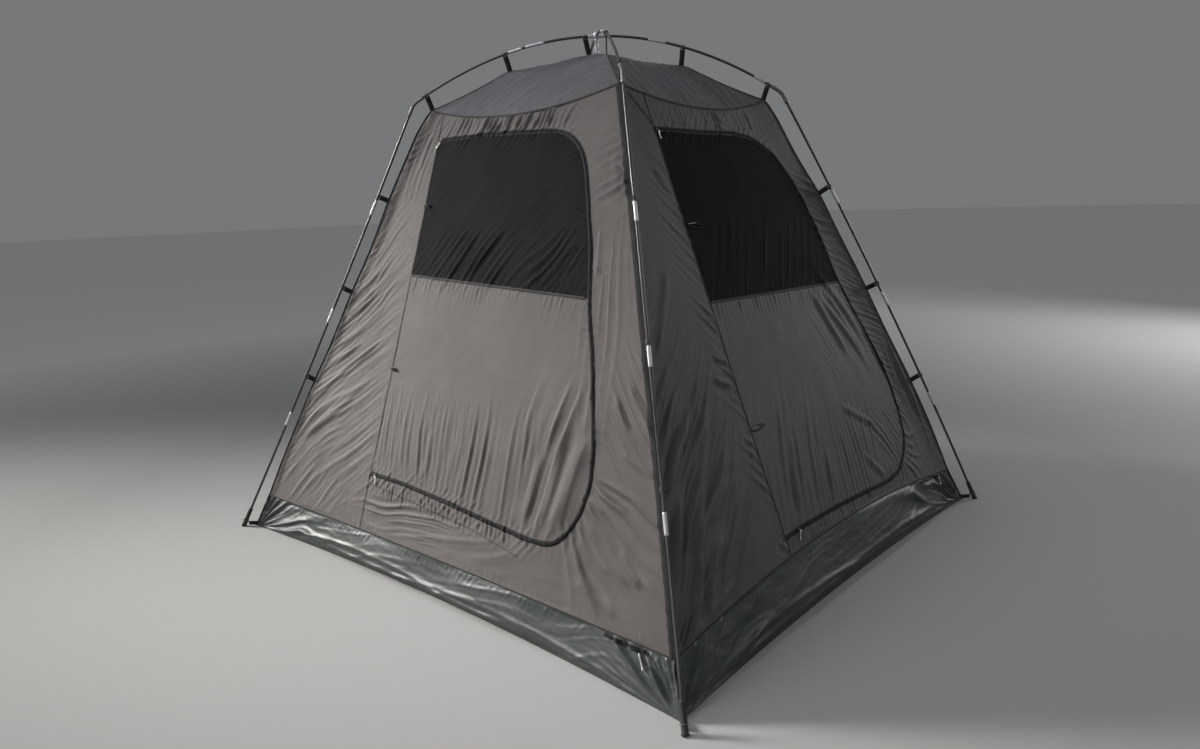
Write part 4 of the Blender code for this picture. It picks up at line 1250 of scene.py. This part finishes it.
# %% Strips on a wall
def strip(wall, line, profile, wobble=None, caps=True, surface=on_wall):
    """profile is (distance to the left of the line, lift) pairs, anticlockwise; wobble moves it sideways."""
    run = unit(np.gradient(line, axis=0))
    left = np.stack([-run[:, 1], run[:, 0]], 1)
    profile = np.broadcast_to(profile, (len(line), *np.shape(profile)[-2:])).copy()
    if wobble is not None:
        profile[..., 0] += wobble
    a = line[:, :1] + left[:, :1] * profile[..., 0]
    z = line[:, 1:] + left[:, 1:] * profile[..., 0]
    points = surface(wall, a, z, profile[..., 1])
    along = np.broadcast_to(lengths(line)[:, None], a.shape)
    uv = np.stack([along, profile[..., 0]], -1)
    return grid(points, np.concatenate([uv, uv[:, :1]], 1), closed=True, caps=caps)


def flat_profile(start, end, thick, lift=0.0002):
    """A flat bar with softened upper edges."""
    soft, top = 0.35 * thick, lift + thick
    return np.array([(start, lift), (end, lift), (end, top - soft), (end - soft, top),
                     ((start + end) / 2, lift + thick * 1.05), (start + soft, top), (start, top - soft)])


under_door = np.linspace(-0.408, 0.450, 260)
facing = np.stack([under_door, np.interp(under_door, [-0.41, 0.2, 0.45], [0.319, 0.283, 0.250])], 1)
seams = [("right", line_between((-0.424, 1.708), (-0.347, 1.606), 60), flat_profile(-0.0025, 0.0025, 0.0012)),
         ("front", facing, flat_profile(-0.0012, 0.0012, 0.0009))]
for wall, data in WALLS.items():
    hinge = HINGE[data["like"]]
    fine = 420 if wall in DOORED else 240
    top = edge_at(wall, ROOF_CORNER_Z) - 0.002
    low = edge_at(wall, BAND_Z) - 0.002
    roof_line = border(wall, -top, top, fine // 2, top_edge) - np.array([0, 0.001])
    band_line = border(wall, -low, low, fine, low_edge)
    upright = line_between((hinge, low_edge(wall, hinge) + 0.004), (hinge, top_edge(wall, hinge) - 0.004), fine)
    seams += [(wall, roof_line, flat_profile(-0.0040, 0.0040, 0.0018)),
              (wall, band_line, flat_profile(-0.0028, 0.0028, 0.0014)),
              (wall, upright, flat_profile(-0.0036, -0.0003, 0.0012))]
shape = merge(*(strip(*row) for row in seams))
piece("seam_tapes", shape, PIPING, "wall_polyester")
print("seam tapes", len(shape[1]) * 2, "triangles")

# %% [markdown]
# A zip is two tapes with half a coil each. One tape is sewn to the tent and the other to the door, 0.3 mm
# apart, so the door can swing. The tapes' outer edges wave a little, as they do where cloth is eased onto them.
# A coil is a bead whose radius swells at each turn, which costs few faces for its thousand turns.


# %% Zips
def coil(wall, line, off, radius, turn=0.0030):
    """A bead beside the zip line whose radius swells once each turn, at three points a turn."""
    count = int(lengths(line)[-1] / turn * 3)
    line = resample(line, count)
    swell = 0.80 + 0.20 * np.cos(np.arange(count) * 2 * np.pi / 3)
    ring = circle(radius, 6)[None] * swell[:, None, None] + np.array([off, 0.0020])
    return strip(wall, line, ring)


def zip_side(wall, side):
    """One tape and its half coil: side +1 lies on the door, -1 on the tent."""
    line = resample(ZIP[wall], 1100)
    s = lengths(line)
    wave = 0.0009 * noise(s / 0.021, 0.5, 61) + 0.0006 * noise(s / 0.008, 0.5, 62)
    inner, outer = 0.00015, 0.0085
    profile = flat_profile(*sorted((side * inner, side * outer)), 0.0007, lift=0.0006)
    waves = np.abs(profile[:, 0]) > 0.003
    tape = strip(wall, line, profile, wobble=wave[:, None] * waves[None] * side)
    return tape, coil(wall, ZIP[wall], side * 0.0018, 0.0016)


for wall in DOORED:
    for side, body in ((1, f"{wall}_door"), (-1, "tent")):
        tape, beads = zip_side(wall, side)
        name = f"{wall}_zip_{'door' if side > 0 else 'tent'}"
        piece(f"{name}_tape", tape, ZIP_TAPE, "webbing", body)
        piece(f"{name}_coil", beads, ZIP_TAPE, "webbing", body)
        print(name, len(tape[1]) * 2 + len(beads[1]) * 2, "triangles")


# %% Seams that ride on the doors, and the binding of the plain windows
def mesh_seam(wall):
    """The felled seam between the mesh and the panel, from the hinge to the zip."""
    line, _, seam, _ = split_zip(wall)
    end = line[seam] - np.array([0.016, 0])
    path = line_between((HINGE[wall] + 0.004, MESH_ENDS[wall][0]), tuple(end), 200)
    return strip(wall, path, flat_profile(-0.0050, 0.0040, 0.0013))


for wall in DOORED:
    edge = line_between((HINGE[wall], ZIP[wall][0, 1] + 0.004), (HINGE[wall], ZIP[wall][-1, 1] - 0.004), 320)
    bound = strip(wall, edge[::-1], flat_profile(0.0003, 0.0036, 0.0012))
    piece(f"{wall}_door_seams", merge(mesh_seam(wall), bound), PIPING, "wall_polyester", f"{wall}_door")
for wall in PLAIN_WALLS:
    ring = np.concatenate([part[:-1] for part in window_ring(WALLS[wall]["like"], 120, 60, 90, 60)])
    ring = np.concatenate([ring, ring[:1]])
    binding = strip(wall, ring, flat_profile(-0.0085, 0.0085, 0.0015), caps=False)
    piece(f"{wall}_window_binding", binding, ZIP_TAPE, "webbing")

# %% [markdown]
# ## Zip pulls and loops
# A slider is a small wedge across the zip, with a pull: an eye, a thin bar and a knob, which hangs down the
# cloth. Both are the same strip as before, with a profile that changes from row to row. Loops of elastic on the
# hinge seam hold the door when it is rolled up. All of these stay with the tent when a door opens: an open zip
# leaves its sliders at the hinge side, and the loops are sewn into the hinge seam.


# %% Sliders, pulls and loops
def box_profile(half, low, high):
    """A bar with bevelled upper edges, from half widths and lifts: left, right, and back over the top."""
    half, low, high = (np.atleast_1d(v)[:, None] for v in np.broadcast_arrays(half, low, high))
    x = np.concatenate([-half, half, half, half * 0.6, -half * 0.6, -half], 1)
    y = np.concatenate([low, low, (low + 2 * high) / 3, high, high, (low + 2 * high) / 3], 1)
    return np.stack([x, y], -1)


def slider(wall, place, heading, surface=on_wall):
    """A wedge 13 mm long, wider at its front, bridging the zip."""
    t = np.linspace(-0.5, 0.5, 9)
    line = np.asarray(place, float) + t[:, None] * 0.013 * unit(np.asarray(heading, float))
    return strip(wall, line, box_profile(0.0036 + 0.0016 * smooth(t + 0.5), 0.0014, 0.0056), surface=surface)


def tag(wall, start, end, surface=on_wall):
    """A pull between two places: the half width follows an eye, a thin bar and a knob, in millimetres."""
    t = np.linspace(0, 1, 22)
    places = [0, 0.06, 0.15, 0.25, 0.34, 0.78, 0.86, 0.95, 1]
    half = np.interp(t, places, [0.8, 3.0, 3.8, 3.0, 1.9, 2.2, 3.8, 3.8, 1.8]) / 1000
    high = np.interp(t, [0, 0.1, 0.4, 1], [8.2, 8.6, 6.2, 5.0]) / 1000
    return strip(wall, line_between(start, end, 22), box_profile(half, high - 0.0022, high), surface=surface)


def before_bathtub(wall, a, z, lift):
    """The bathtub without its folds, as far out as the highest of them there, so that a pull is straight."""
    return on_bathtub(wall, a, z, lift, folds=False)


def loop(wall, start, end, tall, cord=0.0016, lift=0.0040):
    """Elastic cord in a long oval from start to end, its section round."""
    start, end = np.asarray(start, float), np.asarray(end, float)
    t = np.linspace(0, 2 * np.pi, 64)[:, None]
    side = np.array([start[1] - end[1], end[0] - start[0]]) / np.linalg.norm(end - start)
    line = start + (0.5 - 0.5 * np.cos(t)) * (end - start) + 0.5 * tall * np.sin(t) * side
    return strip(wall, line[::-1], circle(cord, 8) + np.array([0, lift]), caps=False)


# %% Fit them to the doors and to the ports of the bathtub
PULLS = {  # slider, top of the pull, its tip
    "front": (((-0.392, 1.612), (-0.388, 1.602), (-0.408, 1.581)),
              ((-0.372, 0.353), (-0.366, 0.350), (-0.362, 0.320))),
    "right": (((-0.335, 1.588), (-0.332, 1.582), (-0.330, 1.556)),
              ((-0.262, 0.259), (-0.254, 0.256), (-0.267, 0.226))),
}
LOOPS = {  # start, end, height
    "front": (((-0.406, 1.357), (-0.372, 1.352), 0.006), ((-0.406, 0.741), (-0.372, 0.738), 0.006)),
    "right": (((-0.330, 1.268), (-0.245, 1.260), 0.014), ((-0.340, 0.600), (-0.262, 0.603), 0.014)),
}
BARS = {  # share of the loop, half width, finish
    "front": (0.75, 0.0050, WEBBING),
    "right": (0.42, 0.0016, GREY_PLASTIC),
}
PORTS = {"front": ((0.850, 1.000), (0.996, 1.004), 0.040), "right": ((0.719, 0.872), (0.868, 0.864), 0.036)}
LEVEL = (1, 0)


def loop_bar(wall, start, end, tall, share, half):
    """The bar that lies on a loop, from its start over a share of its length."""
    start = np.array(start)
    line = line_between(start, start + (share * (end[0] - start[0]), 0.001), 12) + (0, 0.3 * tall)
    return strip(wall, line, box_profile(half, 0.0040, 0.0085))


for wall in DOORED:
    sliders = [slider(wall, place, LEVEL) for place, _, _ in PULLS[wall]]
    pulls = [tag(wall, top, tip) for _, top, tip in PULLS[wall]]
    share, half, finished = BARS[wall]
    piece(f"{wall}_zip_sliders", merge(*sliders), PLASTIC, "webbing")
    piece(f"{wall}_zip_pulls", merge(*pulls), PULL_METAL, "bright_metal")
    piece(f"{wall}_door_loops", merge(*(loop(wall, *row) for row in LOOPS[wall])), WEBBING, "webbing")
    bars = [loop_bar(wall, *row, share, half) for row in LOOPS[wall]]
    piece(f"{wall}_loop_bars", merge(*bars), finished, "webbing")
    (start, stop), (top, tip), drop = PORTS[wall]
    a = np.linspace(start, stop, 60)
    line = np.stack([a, low_edge(wall, a) - 0.012], 1)
    port = strip(wall, line, flat_profile(-0.0055, 0.0055, 0.0016, lift=0.0010), surface=on_bathtub)
    piece(f"{wall}_port_zip", merge(port, slider(wall, line[-3], LEVEL, on_bathtub)), ZIP_TAPE, "webbing")
    high = float(low_edge(wall, top)) - 0.014
    pull_tag = tag(wall, (top, high), (tip, high - drop), before_bathtub)
    piece(f"{wall}_port_pull", pull_tag, PULL_METAL, "bright_metal")
print("pulls and loops on", list(PULLS))

# %% [markdown]
# ## Pole frame
# Steel poles in sections, plugged into each other at bright sleeves. The roof poles arch over the tent, bend at
# the elbows and stand on rubber boots. Each is a tube carried along the solids' own path.

# %% Sizes of poles
POLE_R, FERRULE_R, ELBOW_R, ELBOW_ARM = 0.0050, 0.0063, 0.0070, 0.048
LEG_BOW = {"front_left": -0.010, "front_right": 0.006, "back_right": 0.022, "back_left": 0.006}
LEG_FERRULE_TOPS = {"front_left": (1.390, 0.950, 0.510), "front_right": (1.353, 0.944, 0.515),
                    "back_right": (1.374, 0.942, 0.498), "back_left": (1.374, 0.944, 0.510)}
FERRULE_LENGTH = 0.065
SOCKET_REACH, SOCKET_R, BOOT_HEIGHT = 0.032, 0.0068, 0.080


def arch_z(reach):
    return HUB_Z - ARCH * reach ** 2


def leg_reach(corner, z):
    """Straight from elbow to foot, plus the bend that the leg stands in."""
    share = 1 - z / ELBOW_Z
    return ELBOW_REACH + (DIAGONAL - ELBOW_REACH) * share + LEG_BOW[corner] * 4 * share * (1 - share)


def leg_path(corner, low, high, count):
    z = np.linspace(low, high, count)
    return corner_point(corner, leg_reach(corner, z), z)


def roof_path(corner, start, end, count):
    reach = np.linspace(start, end, count)
    return corner_point(corner, reach, arch_z(reach))


def sleeve(path, radius):
    """A tube with small chamfers at both ends."""
    run = lengths(path)
    return tube(path, radius - 0.0012 * (1 - smooth(np.minimum(run, run[-1] - run) / 0.0025)), sides=24)


# %% Build the poles
ROOF_SLEEVES = {"front_left": ((0.207, 0.283), (0.296, 0.352)), "back_right": ((0.207, 0.278), (0.632, 0.676)),
                "front_right": ((0.207, 0.272),), "back_left": ((0.207, 0.278),)}
leg_length = math.hypot(DIAGONAL - ELBOW_REACH, ELBOW_Z)
drop = FERRULE_LENGTH * ELBOW_Z / leg_length
slope = np.array([1.0, -2 * ARCH * ELBOW_REACH])
arm_reach = ELBOW_REACH - ELBOW_ARM * slope[0] / np.hypot(*slope)
low_z = ELBOW_Z - ELBOW_ARM * ELBOW_Z / leg_length
for corner in CORNERS:
    roof = tube(roof_path(corner, SOCKET_REACH - 0.004, arm_reach + 0.006, 60), POLE_R, sides=24)
    leg = tube(leg_path(corner, BOOT_HEIGHT - 0.01, low_z + 0.006, 90), POLE_R, sides=24)
    piece(f"{corner}_pole_tubes", merge(roof, leg), COATING, "pole_coating",
          stands_for=[f"{corner}_roof_pole", f"{corner}_leg_pole"])
    ends = [sleeve(leg_path(corner, top - drop, top, 20), FERRULE_R) for top in LEG_FERRULE_TOPS[corner]]
    ends += [sleeve(roof_path(corner, low, high, 20), FERRULE_R - 0.0004) for low, high in ROOF_SLEEVES[corner]]
    piece(f"{corner}_pole_sleeves", merge(*ends), BRIGHT, "bright_metal")
    bend = corner_point(corner, ELBOW_REACH, ELBOW_Z)
    upper, lower = corner_point(corner, arm_reach, arch_z(arm_reach)), leg_path(corner, low_z, low_z, 1)[0]
    near, t = 0.62, np.linspace(0, 1, 14)[:, None]
    start, stop = upper + (bend - upper) * near, lower + (bend - lower) * near
    curve = (1 - t) ** 2 * start + 2 * t * (1 - t) * bend + t ** 2 * stop
    path = np.concatenate([np.linspace(upper, start, 8)[:-1], curve, np.linspace(stop, lower, 8)[1:]])
    collars = [sleeve(end, ELBOW_R + 0.0007) for end in (path[:5], path[-5:])]
    # The elbows take the darkened copy of the bright metal, painted shade.
    piece(f"{corner}_elbow_tube", merge(sleeve(path, ELBOW_R), *collars), SHADED_ELBOW_METAL, "bright_metal",
          stands_for=[f"{corner}_elbow"])


# %% [markdown]
# The boots are turned rubber cups with a rib at the top and a worn, slightly spread sole. The hub is a turned
# knob with four sockets, a finial on top and a bright stem that holds the peak of the tent.

# %% Boots and hub
for corner in CORNERS:
    foot, knee = corner_point(corner, DIAGONAL, 0.0), leg_path(corner, BOOT_HEIGHT, BOOT_HEIGHT, 1)[0]
    axis = unit(knee - foot)
    long = float(np.linalg.norm(knee - foot))
    outline = [(0.0100, 0.0), (0.0112, 0.002), (0.0110, 0.006), (0.0098, 0.010), (0.0096, 0.020),
               (0.0090, 0.045), (0.0082, long - 0.012), (0.0086, long - 0.010), (0.0086, long - 0.004),
               (0.0078, long - 0.001), (0.0056, long)]
    shape = turned(outline, foot, axis)
    points = shape[0].copy()
    points[:, 2] = np.maximum(points[:, 2], 0.0)
    piece(f"{corner}_boot_cup", (points, *shape[1:]), RUBBER, "black_rubber", stands_for=[f"{corner}_boot"])

knob = turned([(0.0060, -0.0112), (0.0112, -0.0106), (0.0122, -0.008), (0.0122, 0.008), (0.0112, 0.0106),
               (0.0070, 0.0112), (0.0060, 0.0120), (0.0058, 0.0132), (0.0044, 0.0145), (0.0010, 0.0150)],
              (0, 0, HUB_Z), UP)
starts = [corner_point(corner, 0.008, HUB_Z) for corner in CORNERS]
stops = [corner_point(corner, SOCKET_REACH, HUB_Z - 0.0003) for corner in CORNERS]
sockets = [sleeve(np.linspace(start, stop, 16), SOCKET_R) for start, stop in zip(starts, stops)]
piece("hub_knob", merge(knob, *sockets), BRIGHT, "bright_metal", stands_for=["hub"])
low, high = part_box("hub_stem")
seat = low[2] - 0.009
long = high[2] - seat
stem = turned([(0.0070, 0.0), (0.0100, 0.0008), (0.0105, 0.003), (0.0105, 0.016), (0.0095, 0.0175),
               (0.0092, long - 0.012), (0.0105, long - 0.010), (0.0105, long - 0.001), (0.0090, long)],
              (0, 0, seat), UP)
piece("hub_stem_tube", stem, BRIGHT, "bright_metal", stands_for=["hub_stem"])
print("hub stem from", round(low[2], 4), "to", round(high[2], 4))

# %% [markdown]
# ## Corner webbing
# A narrow piping closes each corner seam, and a black tape lies flat beside it on one wall; the tape is a real
# tape and also a painted shadow, the dark band beside the pole. Straps are sewn into the seam, and each ends in
# a hook and rings that ride on the pole. Piping, tape and straps all follow the pulled seam.

# %% Sizes of webbing
RING_R, RING_WIRE, STRAP_WIDTH = 0.0070, 0.0015, 0.020
ROOF_STRAPS = {"front_left": (0.045, 0.366, 0.688), "front_right": (0.345, 0.688), "back_right": (0.345, 0.688),
               "back_left": (0.345, 0.688)}
LEG_STRAPS = {"front_left": (1.405, 1.038, 0.667), "front_right": (1.366, 0.956, 0.573),
              "back_right": (1.387, 0.979, 0.576), "back_left": (1.390, 1.000, 0.600)}
FOOT_RING_Z = 0.026
# Which wall, and which side of it, carries each corner's black tape: a tape and a painted shadow of the pole in
# one.
TAPE_AND_SHADOW_SIDES = {"front_left": ("left", 1), "front_right": ("front", 1),
         "back_right": ("back", -1), "back_left": ("back", 1)}


def seam_line(count):
    """Reach and height of the corner line from the peak to the floor corner, as if no strap pulled it."""
    hip = np.linspace(0.003, ROOF_REACH, 40)
    line = np.concatenate([np.stack([hip, hip_z(hip)], 1), [(BAND_REACH, BAND_Z), (FLOOR_REACH, 0.002)]])
    return resample(line, count)


def pulled_line(corner, count):
    """The corner line with its pull by the straps, which starts at the roof corner."""
    line = seam_line(count)
    line[:, 0] += pull(corner, line[:, 1]) * (line[:, 0] >= ROOF_REACH)
    return line


def piping(corner):
    """A round piping, 2.4 mm in radius with a slight ripple, along the pulled corner line."""
    path = corner_point(corner, *pulled_line(corner, 560).T)
    return tube(path, 0.0024 + 0.0004 * noise(lengths(path) / 0.012, 0.5, 71), sides=10)


def tape_and_painted_shadow(wall, side):
    """A flat tape 14 mm wide on a wall, just inside its left (-1) or right (1) corner seam; black, a tape and
    partly a painted shadow of the pole beside the seam.
    """
    line = corner_line(wall, side, BAND_Z + 0.002, ROOF_CORNER_Z - 0.004, 420)
    return strip(wall, line, flat_profile(*sorted((0.0015 * side, 0.0155 * side)), 0.0014))


def nearest_seam(corner, reach, z):
    """The point of the pulled corner line that lies nearest to a point of the pole."""
    line = pulled_line(corner, 800)
    return line[np.argmin(np.hypot(line[:, 0] - reach, line[:, 1] - z))]


def ring(centre, axis, radius, wire, sides=20):
    """A torus about an axis."""
    axis = unit(np.asarray(axis, float))
    out = unit(np.cross(axis, (0.3, 0.5, 0.8)))
    t = np.linspace(0, 2 * np.pi, sides + 1)[:-1, None]
    arm = np.cos(t) * out + np.sin(t) * np.cross(axis, out)
    turns = 8
    s = np.linspace(0, 2 * np.pi, turns + 1)[:-1]
    across, up_axis = radius + wire * np.cos(s), wire * np.sin(s)
    points = centre + arm[:, None] * across[None, :, None] + axis * up_axis[None, :, None]
    points = np.concatenate([points, points[:1]])
    shape = grid(points, np.zeros((sides + 1, turns + 1, 2)), closed=True)
    index = shape[1] % (sides * turns)
    return shape[0][:sides * turns], index[:, ::-1], shape[2], []


def strap(corner, seam, centre, width, thick=0.0026, count=14):
    """A doubled strap from the seam to the ring: a flat loop, thicker at the ring, in the corner's plane."""
    start, end = corner_point(corner, *seam), corner_point(corner, *centre)
    run, long = unit(end - start), float(np.linalg.norm(end - start)) - RING_R + 0.003
    path = start - run * 0.002 + run * np.linspace(0, long, count)[:, None]
    out = np.tile(np.cross(diagonal(corner), UP), (count, 1))
    arm = np.cross(out, np.tile(run, (count, 1)))
    swell = thick * (1 + 0.8 * smooth((np.linspace(0, 1, count) - 0.6) / 0.4))
    half, t = width / 2, swell[:, None] / 2
    xs, ys = np.array([-half, half, half, -half]), np.array([-1, -1, 1, 1])
    return carry(path, arm, out, np.stack([np.broadcast_to(xs, (count, 4)), t * ys], -1))


# %% Build the webbing of each corner
HOOK = [(0.0050, 0.0060), (0.0066, 0.0075), (0.0066, 0.0120), (0.0052, 0.0135)]
for corner in CORNERS:
    # The first part is the black tape, which also paints the pole's shadow beside the seam.
    parts, rings, hooks = [tape_and_painted_shadow(*TAPE_AND_SHADOW_SIDES[corner])], [], []
    places = [((r, arch_z(r)), (1.0, -2 * ARCH * r)) for r in ROOF_STRAPS[corner]]
    downwards = (DIAGONAL - ELBOW_REACH, -ELBOW_Z)
    places += [((float(leg_reach(corner, z)), z), downwards) for z in LEG_STRAPS[corner]]
    for (reach, z), slope in places:
        seam = nearest_seam(corner, reach, z)
        parts.append(strap(corner, seam, (reach, z), STRAP_WIDTH))
        centre = corner_point(corner, reach, z)
        axis = diagonal(corner) * slope[0] + UP * slope[1]
        rings += [ring(centre + unit(axis) * s, axis, RING_R, RING_WIRE) for s in (-0.0042, 0.0, 0.0042)]
        inward = unit(corner_point(corner, *seam) - centre)
        hooks.append(turned(HOOK, centre, inward, 12))
    foot = float(leg_reach(corner, FOOT_RING_Z))
    centre = corner_point(corner, foot, FOOT_RING_Z)
    axis = centre - corner_point(corner, float(leg_reach(corner, 0.2)), 0.2)
    rings.append(ring(centre, axis, 0.0117, 0.0018, 24))
    parts.append(strap(corner, (FLOOR_REACH - 0.004, 0.012), (foot - 0.0060, 0.014), 0.016))
    piece(f"{corner}_webbing_tape", merge(*parts), WEBBING, "webbing", stands_for=[f"{corner}_webbing"])
    piece(f"{corner}_piping", piping(corner), PIPING, "wall_polyester")
    piece(f"{corner}_pole_rings", merge(*rings, *hooks), RING_PLASTIC, "webbing")
print("straps", len(places) + 1, "a corner")

# %% [markdown]
# ## Floor
# A pale floor, just under the boots, painted paler further from the tent where less of the light falls.

# %% Studio floor
places = np.linspace(-60.0, 60.0, 5)
flat = np.stack(np.meshgrid(places, places), -1)
points = np.concatenate([flat, np.full((5, 5, 1), -0.0005)], -1)
mesh = bpy.data.meshes.new("studio_floor")
shape = grid(points, flat)
mesh.from_pydata(shape[0].tolist(), [], shape[1].tolist())
mesh.materials.append(FLOOR_WITH_PAINTED_LIGHT)
floor = bpy.data.objects.new("studio_floor", mesh)
bpy.context.scene.collection.objects.link(floor)
